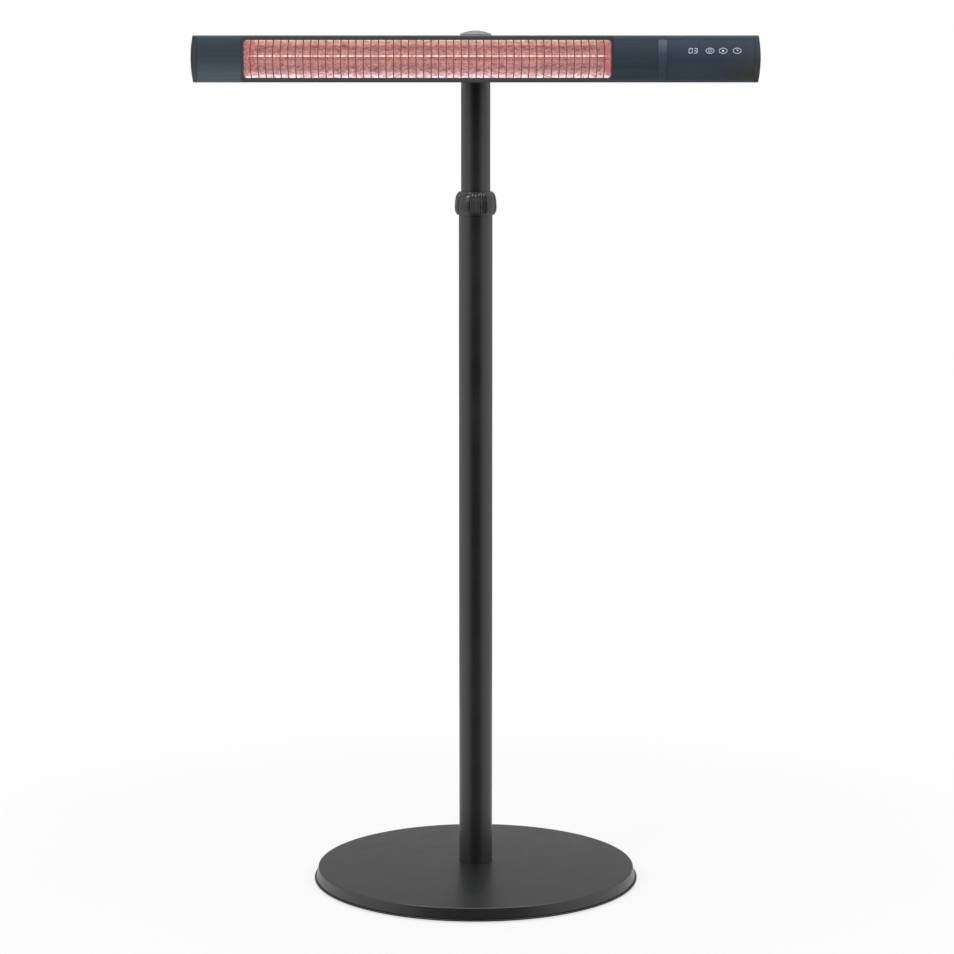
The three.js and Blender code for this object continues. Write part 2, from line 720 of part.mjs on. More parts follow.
function frictionWasher(side) {
  const [a, b] = [side * washerX, side * (washerX + WASHER_T)];
  return turnedX(ringProfile(TILT_BOLT_R + SEAT, WASHER_R, a, b), hingeY, headZ, ROD_SEGMENTS);
}

// Plate on the head's back with two round-ended ears.
function tiltBracket() {
  const plateBack = headBack + SEAT + BRACKET_T;
  const [z0, z1] = [headZ - BRACKET_HALF_H, headZ + BRACKET_HALF_H];
  let body = box(-BRACKET_HALF_W, BRACKET_HALF_W, headBack + SEAT, plateBack, z0, z1);
  for (const side of [-1, 1]) {
    const x0 = side < 0 ? -earX - EAR_T : earX;
    const x1 = x0 + EAR_T;
    body = body.add(box(x0, x1, headBack + SEAT, hingeY, headZ - EAR_R, headZ + EAR_R));
    body = body.add(rodX(EAR_R, x0, x1, hingeY, headZ));
    body = body.subtract(rodX(TILT_BOLT_R + SEAT, x0 - OVER, x1 + OVER, hingeY, headZ));
    for (const up of [-1, 1]) {
      const [x, z] = [side * BRACKET_SCREW_X, headZ + up * BRACKET_SCREW_Z];
      const hole = rodAlongY(PANEL_SCREW_R + SEAT, headBack - OVER, plateBack + OVER, x, z);
      body = body.subtract(hole);
    }
  }
  return body;
}

function tiltBolt() {
  const headEnd = -(earX + EAR_T + SEAT);
  const tip = knobX + KNOB_HUB_T + KNOB_HOLE - BOLT_END_GAP;
  const head = rodX(TILT_HEAD_R, headEnd - TILT_HEAD_T, headEnd, hingeY, headZ, HEX);
  return head.add(rodX(TILT_BOLT_R, headEnd - FUSE, tip, hingeY, headZ));
}

// Hand knob with shallow lobes and a blind hole for the bolt.
function tiltKnob() {
  const outline = new THREE.Shape();
  for (let i = 0; i < KNOB_STEPS; i += 1) {
    const turn = (2 * Math.PI * i) / KNOB_STEPS;
    const r = KNOB_R - KNOB_LOBE_DEPTH * (0.5 - 0.5 * Math.cos(KNOB_LOBES * turn));
    const point = [hingeY + r * Math.cos(turn), headZ + r * Math.sin(turn)];
    if (i === 0) outline.moveTo(...point);
    else outline.lineTo(...point);
  }
  const gripX = knobX + KNOB_HUB_T;
  const hub = rodX(KNOB_HUB_R, knobX, gripX + FUSE, hingeY, headZ);
  const hole = rodX(TILT_BOLT_R + SEAT, knobX - OVER, gripX + KNOB_HOLE, hingeY, headZ);
  return alongX(outline, gripX, gripX + KNOB_T).add(hub).subtract(hole);
}

function addBracketScrews() {
  const seatY = headBack + BRACKET_T + 2 * SEAT;
  let count = 0;
  for (const side of [-1, 1]) {
    for (const up of [-1, 1]) {
      const [x, z] = [side * BRACKET_SCREW_X, headZ + up * BRACKET_SCREW_Z];
      const head = rodAlongY(PANEL_SCREW_HEAD_R, seatY, seatY + PANEL_SCREW_HEAD_T, x, z);
      const tip = seatY - PANEL_SCREW_L;
      const shank = rodAlongY(PANEL_SCREW_R, tip, seatY + FUSE, x, z, SHANK_SEGMENTS);
      count += 1;
      addPiece(`bracket_screw_${count}`, head.add(shank), STEEL);
    }
  }
}

function addTiltJoint() {
  addPiece('pole_cap', poleCap(), GREY_CAP);
  addPiece('mast_bracket', mastBracket(), BLACK_COAT);
  addPiece('friction_washer_left', frictionWasher(-1), WHITE_PLASTIC);
  addPiece('friction_washer_right', frictionWasher(1), WHITE_PLASTIC);
  addPiece('tilt_bracket', tiltBracket(), BLACK_COAT);
  addPiece('tilt_bolt', tiltBolt(), STEEL);
  addPiece('tilt_knob', tiltKnob(), BLACK_PLASTIC);
  addBracketScrews();
}

// ---- Head housing -------------------------------------------------------------------------

const bossY = headBack - BOSS_INSET;
const bossZ = halfH - BOSS_INSET;
const glandX = receiverX + GLAND_SHIFT;
const glandZ = headZ - GLAND_DROP;

function headSection() {
  return roundedRect(headFront, headBack, headZ - halfH, headZ + halfH, FRONT_ROUND, BACK_ROUND);
}

// Cutter for a round hole through the housing's back wall.
const backHole = (r, x, z, segments) => rodAlongY(
  r,
  innerBack - OVER,
  headBack + OVER,
  x,
  z,
  segments,
);

// Extruded channel: an open front between two rails, a groove for the front panels behind
// each rail, and two screw bosses in the back corners.
function headShell() {
  const [x0, x1] = [-shellHalf, shellHalf];
  const [low, high] = [headZ - innerHalfH, headZ + innerHalfH];
  const backRound = BACK_ROUND - SHELL_WALL;
  const inside = headFront + SHELL_WALL;
  const cavity = roundedRect(inside, innerBack, low, high, INNER_ROUND, backRound);
  const [cut0, cut1] = [x0 - OVER, x1 + OVER];
  const slot = box(cut0, cut1, headFront - OVER, panelFront, headZ - slotLow, headZ + slotHalfH);
  let body = alongX(headSection(), x0, x1).subtract(alongX(cavity, cut0, cut1)).subtract(slot);
  for (const up of [-1, 1]) {
    const [inner, outer] = [headZ + up * ribTip, headZ + up * (innerHalfH + SHELL_WALL / 2)];
    const [z0, z1] = [Math.min(inner, outer), Math.max(inner, outer)];
    body = body.add(box(x0, x1, ribFront, ribFront + GROOVE_RIB_T, z0, z1));
    const z = headZ + up * bossZ;
    body = body.add(rodX(BOSS_R, x0, x1, bossY, z, SMALL_SEGMENTS));
    body = body.subtract(rodX(CAP_SCREW_R + SEAT, cut0, cut1, bossY, z, SHANK_SEGMENTS));
    for (const side of [-1, 1]) {
      const [x, screwZ] = [side * BRACKET_SCREW_X, headZ + up * BRACKET_SCREW_Z];
      body = body.subtract(backHole(PANEL_SCREW_R + SEAT, x, screwZ, SMALL_SEGMENTS));
    }
  }
  return body.subtract(backHole(GLAND_R + SEAT, glandX, glandZ, ROD_SEGMENTS));
}

// End cap: its outer face bulges in the front view, between rounded corners.
function endCap(side) {
  const seamX = shellHalf + SEAT;
  const outline = new THREE.Shape();
  outline.moveTo(side * seamX, headZ - halfH);
  const cornerX = headHalf - END_BULGE - END_CORNER;
  outline.lineTo(side * cornerX, headZ - halfH);
  for (let i = 0; i <= END_STEPS; i += 1) {
    const share = -1 + (2 * i) / END_STEPS;
    const z = share * (halfH - END_CORNER);
    outline.lineTo(side * (headHalf - END_BULGE * share * share), headZ + z);
  }
  outline.lineTo(side * cornerX, headZ + halfH);
  outline.lineTo(side * seamX, headZ + halfH);
  const end = headHalf + OVER;
  const [x0, x1] = side < 0 ? [-end, -seamX] : [seamX, end];
  const block = alongX(headSection(), x0, x1);
  let body = alongY(outline, headFront - OVER, headBack + OVER).intersect(block);
  const headSeat = headHalf - END_BULGE - CAP_SCREW_SINK;
  for (const up of [-1, 1]) {
    const z = headZ + up * bossZ;
    const shank = rodProfile(CAP_SCREW_R + SEAT, side * (seamX - OVER), side * end);
    const sink = rodProfile(CAP_SCREW_HEAD_R + SEAT, side * headSeat, side * end);
    body = body.subtract(turnedX(shank, bossY, z, SHANK_SEGMENTS));
    body = body.subtract(turnedX(sink, bossY, z, SMALL_SEGMENTS));
  }
  return body;
}

function addEndCapScrews() {
  const headSeat = headHalf - END_BULGE - CAP_SCREW_SINK + SEAT;
  let count = 0;
  for (const side of [-1, 1]) {
    for (const up of [-1, 1]) {
      const z = headZ + up * bossZ;
      const [seat, top] = [side * headSeat, side * (headSeat + CAP_SCREW_HEAD_T)];
      const [tip, end] = [side * (headSeat - CAP_SCREW_L), side * (headSeat + FUSE)];
      const head = turnedX(rodProfile(CAP_SCREW_HEAD_R, seat, top), bossY, z, SMALL_SEGMENTS);
      const shank = turnedX(rodProfile(CAP_SCREW_R, tip, end), bossY, z, SHANK_SEGMENTS);
      count += 1;
      addPiece(`end_cap_screw_${count}`, head.add(shank), STEEL);
    }
  }
}

const frontPanel = (x, width) => box(
  x,
  x + width,
  panelFront,
  panelBack,
  headZ - panelHalfH,
  headZ + panelHalfH,
);

function windowFrame() {
  const [low, high] = [headZ - panelHalfH, headZ + panelHalfH];
  const outline = roundedRect(frameX, frameX + frameW, low, high, FRAME_CORNER, FRAME_CORNER);
  const openHalfH = slotHalfH - FRAME_SHOW;
  const [z0, z1] = [headZ - openHalfH, headZ + openHalfH];
  const opening = roundedRect(windowX, windowEnd, z0, z1, WINDOW_ROUND, WINDOW_ROUND, THREE.Path);
  outline.holes.push(opening);
  return alongY(outline, panelFront, panelBack);
}

function addHousing() {
  addPiece('head_shell', headShell(), BLUE_GREY_COAT);
  addPiece('end_cap_left', endCap(-1), BLUE_GREY_COAT);
  addPiece('end_cap_right', endCap(1), BLUE_GREY_COAT);
  addEndCapScrews();
  addPiece('blank_panel_left', frontPanel(leftPanelX, LEFT_PANEL_W), BLUE_GREY_COAT);
  addPiece('window_frame', windowFrame(), BLUE_GREY_COAT);
  addPiece('blank_panel_right', frontPanel(rightPanelX, RIGHT_PANEL_W), BLUE_GREY_COAT);
  addPiece('receiver_window', frontPanel(receiverX, RECEIVER_W), SMOKED_PLASTIC);
  addPiece('control_glass', frontPanel(controlX, CONTROL_W), CONTROL_GLASS);
}

// ---- Emitter ------------------------------------------------------------------------------

// Upright wires whose ends are welded into a rod above and a rod below.
function guardGrille() {
  const firstX = windowX + WIRE_MARGIN;
  const pitch = (WINDOW_W - 2 * WIRE_MARGIN) / (WIRE_COUNT - 1);
  const wires = [];
  for (let i = 0; i < WIRE_COUNT; i += 1) {
    const wire = turned(rodProfile(WIRE_R, headZ - rodZ, headZ + rodZ), WIRE_SIDES);
    wires.push(wire.translate([firstX + i * pitch, rodY, 0]));
  }
  const [x0, x1] = [windowX - ROD_OVER, windowEnd + ROD_OVER];
  const rods = [-1, 1].map((up) => rodX(ROD_R, x0, x1, rodY, headZ + up * rodZ, ROD_SIDES));
  return wasm.Manifold.union([...rods, ...wires]);
}

// Depth line of the trough: y for a height z above the head's middle.
const troughY = (z) => {
  const share = Math.min(1, Math.abs(z) / troughHalfH);
  return troughFront + REFLECTOR_DEPTH * (1 - share ** REFLECTOR_POWER);
};

function troughOutline(steps) {
  return Array.from({ length: steps + 1 }, (_, i) => {
    const turn = (Math.PI * i) / steps;
    const z = -troughHalfH * Math.cos(turn);
    return [troughY(z), z];
  });
}

// Polished trough with a flange along each edge.
function reflector() {
  const inside = troughOutline(TROUGH_STEPS);
  const grow = (troughHalfH + REFLECTOR_T) / troughHalfH;
  const outside = inside.map(([y, z]) => [y + REFLECTOR_T, z * grow]);
  const flangeZ = troughHalfH + REFLECTOR_FLANGE;
  const loop = [
    [flangeFront, -flangeZ], [flangeFront, -troughHalfH], ...inside.slice(1, -1),
    [flangeFront, troughHalfH], [flangeFront, flangeZ], [troughFront, flangeZ],
    ...outside.reverse(), [troughFront, -flangeZ],
  ];
  const outline = new THREE.Shape(loop.map(([y, z]) => new THREE.Vector2(y, headZ + z)));
  return alongX(outline, windowX - REFLECTOR_OVER, windowEnd + REFLECTOR_OVER);
}

// End plate of the trough: it leans inwards towards the back, and the tube passes through it.
function reflectorEnd(side) {
  const inset = (troughHalfH - 2 * SEAT) / troughHalfH;
  const points = troughOutline(END_PLATE_STEPS).map(([y, z]) => new THREE.Vector2(
    y - 2 * SEAT,
    headZ + z * inset,
  ));
  const hole = new THREE.Path().absarc(quartzY, headZ, QUARTZ_R + 2 * SEAT, 0, 2 * Math.PI, true);
  const outline = new THREE.Shape(points);
  outline.holes.push(hole);
  const edge = side < 0 ? windowX : windowEnd - END_PLATE_T;
  const geometry = new THREE.ExtrudeGeometry(outline, extrusion(END_PLATE_T, SMALL_SEGMENTS));
  const lean = (-side * END_PLATE_LEAN) / REFLECTOR_DEPTH;
  // x = depth + lean * (y - front edge), y and z as drawn
  const place = new THREE.Matrix4().set(
    lean, 0, 1, edge - lean * troughFront,
    1, 0, 0, 0,
    0, 1, 0, 0,
    0, 0, 0, 1,
  );
  return solid(geometry.applyMatrix4(place));
}

// The filament's line: straight tails on the tube's axis, and curls whose radius grows from
// nothing over the first half turn and shrinks again over the last.
function filamentPoints() {
  const coilX = quartzX + FILAMENT_TAIL;
  const coilL = quartzEnd - FILAMENT_TAIL - coilX;
  const total = FILAMENT_CURLS * CURL_STEPS;
  const points = [new THREE.Vector3(quartzX, quartzY, headZ)];
  for (let i = 0; i <= total; i += 1) {
    const turn = (2 * Math.PI * i) / CURL_STEPS;
    const fromEnd = Math.min(i, total - i) / (0.5 * CURL_STEPS);
    const r = FILAMENT_R * smooth(fromEnd);
    const x = coilX + (coilL * i) / total;
    points.push(new THREE.Vector3(x, quartzY + r * Math.cos(turn), headZ + r * Math.sin(turn)));
  }
  points.push(new THREE.Vector3(quartzEnd, quartzY, headZ));
  return points;
}

// Least gap between the tube's surface at two places at least half a curl apart.
function leastGap(points, radius) {
  let least = Infinity;
  const reach = 3 * CURL_STEPS;
  for (let i = 0; i < points.length; i += 1) {
    const last = Math.min(points.length, i + reach);
    for (let j = i + CURL_STEPS / 2; j < last; j += 1) {
      least = Math.min(least, points[i].distanceTo(points[j]) - 2 * radius);
    }
  }
  return least;
}

function filament() {
  const points = filamentPoints();
  console.log(`filament: least gap to itself ${leastGap(points, FILAMENT_WIRE_R).toFixed(2)} mm`);
  return tubeThrough(points, FILAMENT_WIRE_R, CURL_SIDES);
}

// Ceramic socket on a tube end, open towards the tube.
function lampSocket(side) {
  const tubeEnd = side < 0 ? quartzX : quartzEnd;
  const mouth = tubeEnd - side * SOCKET_GRIP;
  const back = mouth + side * SOCKET_L;
  const floor = tubeEnd + side * SEAT;
  const bore = QUARTZ_R + SEAT;
  return turnedX([
    [0, floor], [bore, floor], [bore, mouth], [SOCKET_R, mouth], [SOCKET_R, back], [0, back],
  ], quartzY, headZ, ROD_SEGMENTS);
}

function socketMiddle(side) {
  const tubeEnd = side < 0 ? quartzX : quartzEnd;
  return tubeEnd + side * (SOCKET_L / 2 - SOCKET_GRIP);
}

// Steel saddle between the housing's back wall and a socket.
function lampClip(side) {
  const x = socketMiddle(side);
  const [x0, x1] = [x - CLIP_HALF_W, x + CLIP_HALF_W];
  const front = quartzY + SOCKET_R - CLIP_GRIP;
  const block = box(x0, x1, front, innerBack - SEAT, headZ - CLIP_HALF_H, headZ + CLIP_HALF_H);
  return block.subtract(rodX(SOCKET_R + SEAT, x0 - OVER, x1 + OVER, quartzY, headZ));
}

function addEmitter() {
  const tube = ringProfile(QUARTZ_R - QUARTZ_WALL, QUARTZ_R, quartzX, quartzEnd);
  addPiece('guard_grille', guardGrille(), DARK_WIRE);
  addPiece('reflector', reflector(), POLISHED_RED);
  addPiece('quartz_tube', turnedX(tube, quartzY, headZ, ROD_SEGMENTS), QUARTZ);
  addPiece('filament', filament(), GLOWING_WIRE);
  for (const [side, word] of [[-1, 'left'], [1, 'right']]) {
    addPiece(`reflector_end_${word}`, reflectorEnd(side), POLISHED_RED);
    addPiece(`lamp_socket_${word}`, lampSocket(side), CERAMIC);
    addPiece(`lamp_clip_${word}`, lampClip(side), STEEL);
  }
}

// ---- Electrics ----------------------------------------------------------------------------

const boardBack = panelBack + SEAT + DISPLAY_DEPTH + SEAT + BOARD_T;
const boardFront = boardBack - BOARD_T;
const carrierX = controlX + CARRIER_INSET;
const carrierEnd = controlEnd - POST / 2;
const carrierFront = innerBack - SEAT - CARRIER_T;
const blockZ = BOARD_HALF_H + EDGE_ROOM;

// Touch board: contact springs behind the icons, and the receiver eye behind its window.
function controlBoard() {
  const [z0, z1] = [headZ - BOARD_HALF_H, headZ + BOARD_HALF_H];
  const board = box(receiverX + BOARD_START, carrierEnd, boardFront, boardBack, z0, z1);
  const peg = (r, x, z) => rodAlongY(
    r,
    panelBack + SEAT,
    boardBack - FUSE,
    x,
    z,
    SHANK_SEGMENTS,
  );
  const springs = ICON_X.map((x) => peg(TOUCH_SPRING_R, controlX + x, headZ + ICON_Z));
  const eye = peg(IR_EYE_R, receiverX + RECEIVER_W / 2, headZ);
  return wasm.Manifold.union([board, eye, ...springs]);
}

function displayModule() {
  const x = controlX + DISPLAY_X;
  const z = headZ + ICON_Z;
  const [x0, x1] = [x - DISPLAY_W / 2, x + DISPLAY_W / 2];
  const [z0, z1] = [z - DISPLAY_H / 2, z + DISPLAY_H / 2];
  return box(x0, x1, panelBack + SEAT, boardFront - SEAT, z0, z1);
}

// Plastic tray on the back wall: short posts for the power board, long ones for the touch board.
function boardCarrier() {
  const half = POST / 2;
  const [z0, z1] = [headZ - BOARD_HALF_H, headZ + BOARD_HALF_H];
  const parts = [box(carrierX, carrierEnd, carrierFront, innerBack - SEAT, z0, z1)];
  const post = (x, z, front) => box(
    x - half,
    x + half,
    front,
    carrierFront + FUSE,
    z - half,
    z + half,
  );
  for (const up of [-1, 1]) {
    const edge = headZ + up * (BOARD_HALF_H - half);
    const inner = headZ + up * (BOARD_HALF_H - POWER_INSET);
    for (const x of [carrierX + half, carrierEnd - half]) {
      parts.push(post(x, edge, boardBack + SEAT));
    }
    for (const x of [carrierX + 5 * half, carrierEnd - 5 * half]) {
      parts.push(post(x, inner, carrierFront - POWER_POST_H));
    }
  }
  return wasm.Manifold.union(parts);
}

function powerBoard() {
  const back = carrierFront - POWER_POST_H - SEAT;
  const front = back - BOARD_T;
  const half = BOARD_HALF_H - POST / 2;
  const [x0, x1] = [carrierX + POST + EDGE_ROOM, carrierEnd - POST - EDGE_ROOM];
  const board = box(x0, x1, front, back, headZ - half, headZ + half);
  const part = ([width, height, rise], x) => box(
    x,
    x + width,
    front - rise,
    back - FUSE,
    headZ - height / 2,
    headZ + height / 2,
  );
  return board.add(part(RELAY, x0 + PARTS_IN)).add(part(HEAT_SINK, x1 - PARTS_IN - HEAT_SINK[0]));
}

function cableGland() {
  const seat = headBack + SEAT;
  const flangeEnd = seat + GLAND_FLANGE_T;
  const inner = innerBack - GLAND_INSIDE;
  const tip = flangeEnd + GLAND_TAIL;
  return turnedY([
    [GLAND_BORE, inner], [GLAND_R, inner], [GLAND_R, seat], [GLAND_FLANGE_R, seat],
    [GLAND_FLANGE_R, flangeEnd], [GLAND_R, flangeEnd + GLAND_NECK], [GLAND_TIP_R, tip],
    [GLAND_BORE, tip],
  ], glandX, glandZ, ROD_SEGMENTS);
}

const terminalX = rightPanelX + RIGHT_PANEL_W / 2;

// Short lead from the front of the terminal block to the right socket's outer end.
function rightLead() {
  const end = new THREE.Vector3(socketMiddle(1) + SOCKET_L / 2 + SEAT, quartzY, headZ);
  const blockFront = innerBack - SEAT - TERMINAL_D;
  const start = new THREE.Vector3(terminalX + 6, blockFront - SEAT, headZ - blockZ + TERMINAL_H / 2);
  const route = new THREE.CatmullRomCurve3([
    start,
    new THREE.Vector3(start.x, start.y - 4, start.z),
    new THREE.Vector3(start.x - 1, quartzY, headZ - 4),
    new THREE.Vector3(end.x + 4, end.y, end.z),
    end,
  ]);
  return tubeThrough(route.getPoints(LEAD_STEPS), LEAD_R, LEAD_SIDES);
}

// Long lead from the terminal block's side: straight along the housing behind the trough,
// then round to the left socket's outer end.
function leftLead() {
  const start = new THREE.Vector3(terminalX - SEAT, leadY, leadZ);
  const end = new THREE.Vector3(socketMiddle(-1) - SOCKET_L / 2 - SEAT, quartzY, headZ);
  const bend = new THREE.CatmullRomCurve3([
    new THREE.Vector3(end.x + 6, leadY, leadZ),
    new THREE.Vector3(end.x - 8, leadY - 2, leadZ + 3),
    new THREE.Vector3(end.x - 17, (leadY + quartzY) / 2, headZ - LEAD_DROP / 2),
    new THREE.Vector3(end.x - 11, quartzY, headZ - 1),
    new THREE.Vector3(end.x - 3, quartzY, headZ),
    end,
  ]);
  return tubeThrough([start, ...bend.getPoints(LEAD_STEPS)], LEAD_R, LEAD_SIDES);
}

function addElectrics() {
  const wall = innerBack - SEAT;
  const terminalEnd = terminalX + TERMINAL_W;
  const [low, high] = [headZ - blockZ, headZ + blockZ];
  const terminal = box(terminalX, terminalEnd, wall - TERMINAL_D, wall, low, low + TERMINAL_H);
  const switchEnd = terminalX + SWITCH_W;
  const tipSwitch = box(terminalX, switchEnd, wall - SWITCH_D, wall, high - SWITCH_W, high);
  addPiece('control_board', controlBoard(), BOARD_GREEN);
  addPiece('display_module', displayModule(), BLACK_PLASTIC);
  addPiece('board_carrier', boardCarrier(), BLACK_PLASTIC);
  addPiece('power_board', powerBoard(), BOARD_GREEN);
  addPiece('terminal_block', terminal, WHITE_PLASTIC);
  addPiece('tip_over_switch', tipSwitch, BLACK_PLASTIC);
  addPiece('thermal_cutout', rodAlongY(CUTOUT_R, wall - CUTOUT_T, wall, CUTOUT_X, headZ), STEEL);
  addPiece('cable_gland', cableGland(), BLACK_PLASTIC);
  addPiece('lamp_lead_left', leftLead(), SLEEVE);
  addPiece('lamp_lead_right', rightLead(), SLEEVE);
}

addBase();
addColumn();
addTiltJoint();
addHousing();
addEmitter();
addElectrics();

export default object;
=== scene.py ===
"""Looks, lights and camera of an infrared patio heater on a telescopic stand.

Lengths are in metres. The heater faces -Y, and +X is to the right of its face.
Every piece is worked out from the boxes of the CAD nodes that it stands for.
"""

import json
import math

import bpy
import numpy as np
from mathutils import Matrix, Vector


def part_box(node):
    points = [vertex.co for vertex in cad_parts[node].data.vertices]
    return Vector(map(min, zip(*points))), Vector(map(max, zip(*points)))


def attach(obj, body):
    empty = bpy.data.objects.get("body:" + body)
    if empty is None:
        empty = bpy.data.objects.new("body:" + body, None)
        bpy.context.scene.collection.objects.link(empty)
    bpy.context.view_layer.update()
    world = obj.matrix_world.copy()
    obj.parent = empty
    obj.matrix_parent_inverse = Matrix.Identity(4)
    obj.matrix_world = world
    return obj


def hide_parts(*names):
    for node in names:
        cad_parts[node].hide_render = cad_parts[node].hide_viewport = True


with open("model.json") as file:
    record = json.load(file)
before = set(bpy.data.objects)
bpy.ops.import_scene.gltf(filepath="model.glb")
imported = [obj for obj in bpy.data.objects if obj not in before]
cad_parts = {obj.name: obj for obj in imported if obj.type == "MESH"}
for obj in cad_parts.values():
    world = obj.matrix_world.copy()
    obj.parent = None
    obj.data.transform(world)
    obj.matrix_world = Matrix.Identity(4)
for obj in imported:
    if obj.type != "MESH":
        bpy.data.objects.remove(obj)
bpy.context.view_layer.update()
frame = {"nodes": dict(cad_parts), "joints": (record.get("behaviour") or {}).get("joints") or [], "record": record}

MM = 0.001
RECORD = frame["record"]
BODY_OF = {node: body for body, nodes in RECORD["behaviour"]["bodies"].items() for node in nodes}
SLOT_OF = {part["node"]: part["material_slot"] for part in RECORD["subparts"]}
JOINT = {joint["name"]: joint for joint in frame["joints"]}

ORIGIN = np.zeros(3)

# ---- Sizes that the boxes don't give -------------------------------------------------------

CLEAR = 0.3 * MM                 # room between parts that fit together
BROKEN_EDGE = 0.3 * MM           # an edge that is only just taken off

RIM_HEIGHT = 21.5 * MM           # top edge of the base's skirt above the ground
RIM_ROUND = 2.2 * MM
DOME_RISE = 6.8 * MM             # centre of the base cover above its rim
SKIRT_LEAN = 3.4 * MM            # the skirt's foot stands out by this much
COVER_WALL = 1.5 * MM
TUBE_WALL = 1.5 * MM

PLATE_HOLE = 14 * MM             # in the middle of the base plate
PLATE_EDGE = 0.9 * MM
PAD_DISH = 0.4 * MM              # hollow under a rubber pad

LUG_COUNT = 3
LUG_HALF = math.radians(34)
LUG_EDGE = math.radians(5)       # blend beside a lug
LUG_FIRST = math.radians(-22)    # from +X to the first lug's middle
RIB_PITCH = math.radians(8)
VALLEY_DEPTH = 2.2 * MM
RIB_HEIGHT = 0.9 * MM
GROOVE_HALF = math.radians(5)    # upright groove in the middle of a lug
GROOVE_EDGE = math.radians(3)
GROOVE_DEPTH = 1.2 * MM
# Barrel outline of the collar: share of its height, then how far in from its widest place
BARREL_SHARE = (0, 0.07, 0.18, 0.32, 0.6, 0.82, 0.94, 1)
BARREL_INSET = np.array((3.7, 2, 0.5, 0, 0.6, 1.9, 4.3, 6.7)) * MM
RIB_FADE_LOW = 0.18              # shares of the collar's height over which
RIB_FADE_HIGH = 0.25             # its ribs fade out, below and above
COLLAR_STEP = 6.7 * MM           # depth of the collar's narrow mouth

CAP_RISE = 5 * MM                # dome of the column's cap
CAP_WALL = 2.2 * MM
BOLT_HOLE = 4.3 * MM
BOLT_SHANK = 4 * MM
BOLT_HEAD_T = 5 * MM
WASHER_T = 2.1 * MM              # with the play beside the knuckle
ARM_START = np.array((8, 9)) * MM    # half width and half height of the arm at the knuckle
ARM_GROWTH = np.array((4, 7)) * MM   # what it gains up to the ring round the tube
EAR_R = 11 * MM
EAR_T = 3 * MM
YOKE_PLATE_T = 3 * MM
LOBES = 5                        # of the hand knob
LOBE_DIP = 1.6 * MM
HUB_R = 7 * MM
HUB_T = 4 * MM

HEAD_WALL = 1.8 * MM
HEAD_BACK_ROUND = 10 * MM
HEAD_FRONT_ROUND = 2.5 * MM
RAIL_HEIGHT = 6.2 * MM           # above the front slot
LOW_RAIL_HEIGHT = 4 * MM         # below it
PANEL_SEAT = 0.3 * MM            # room between a panel and what holds it
GROOVE_RIB_T = 1.5 * MM          # rib behind the panels
GROOVE_RIB_H = 1.7 * MM
END_BULGE = 3.4 * MM
END_ROUND = 1.2 * MM
BOSS_R = 4.6 * MM
BOSS_HOLE = 1.9 * MM
CAP_SCREW_HEAD_T = 2 * MM
CAP_SCREW_R = 1.6 * MM
CAP_SCREW_L = 18 * MM
YOKE_SCREW_HEAD_T = 2.2 * MM
YOKE_SCREW_R = 2 * MM
DRILL_HALF = 15 * MM             # half length of a counterbore's drill
WINDOW_ROUND = 5.5 * MM
FRAME_BAR = 3 * MM
FRAME_SHOW = 0.6 * MM            # frame seen inside the upper rail
PANEL_EDGE = 0.35 * MM
FLUSH = 0.15 * MM                # raised fronts stop this much behind the rails' face
FIELD_GAP = 0.12 * MM            # between a raised front and the rails
PANEL_CORNER = 0.8 * MM

WIRE_COUNT = 48
WIRE_R = 0.8 * MM
WIRE_MARGIN = 11.6 * MM          # first and last wire in from the window's ends
WIRE_BOW = 2.4 * MM              # outermost wires' bend away from the window's middle
ROD_R = 1.1 * MM
TROUGH_POWER = 2.4
TROUGH_SHEET = 0.8 * MM
TROUGH_FLANGE = 4 * MM
END_SHEET = 1.2 * MM
QUARTZ_WALL = 1 * MM
FILAMENT_R = 1.9 * MM
FILAMENT_WIRE_R = 0.45 * MM
FILAMENT_PITCH = 4.4 * MM
FILAMENT_TAIL = 22 * MM

DISPLAY_NUMBER = "03"
DIGIT_HEIGHT = 7.6 * MM
DIGIT_WIDTH = 4.6 * MM
DIGIT_GAP = 2.7 * MM
DIGIT_STROKE = 0.85 * MM
DIGIT_SLANT = math.radians(6)
MARK_AT = np.array((61.7, 80.7, 101.2)) * MM  # touch marks from the glass's left edge
MARK_HALF_W = 6.2 * MM
MARK_HALF_H = 4.2 * MM
MARK_STROKE = 0.7 * MM
MARK_RISE = 11.8 * MM            # display and marks above the head's middle
PRINT_T = 0.05 * MM

SHARP = math.radians(32)         # edges that turn by more than this stay crisp
BASE_SIDES = 240                 # faces round the base
TUBE_SIDES = 128                 # round the column and what sits on it


# ---- Surfaces ------------------------------------------------------------------------------

def limits(node):
    """The node's lowest and highest corner at rest, as arrays."""
    low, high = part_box(node)
    return np.array(low), np.array(high)


def high_half(node):
    """How far a node reaches to the right of the middle."""
    return limits(node)[1][0]


def nodes_named(start):
    """The CAD nodes whose names start alike, in order."""
    return sorted(node for node in SLOT_OF if node.startswith(start))


def smooth(share):
    """0 below 0, 1 above 1, and a soft S between them: 3 s^2 - 2 s^3."""
    share = np.clip(share, 0, 1)
    return share * share * (3 - 2 * share)


def placed(u, v, w, axis):
    """Points whose third number runs along the axis, and the first two along the other axes."""
    first, second = [k for k in "XYZ" if k != axis]
    numbers = {first: u, second: v, axis: w}
    return np.stack(np.broadcast_arrays(*(numbers[k] for k in "XYZ")), axis=-1)


def outward(points, groups):
    """Turns all faces over if the volume that they enclose comes out negative."""
    volume = 0.0
    for group in groups:
        first = points[group[:, 0]]
        for k in range(1, group.shape[1] - 1):
            across = np.cross(points[group[:, k]], points[group[:, k + 1]])
            volume += np.sum(first * across)
    return points, [group[:, ::-1] if volume < 0 else group for group in groups]


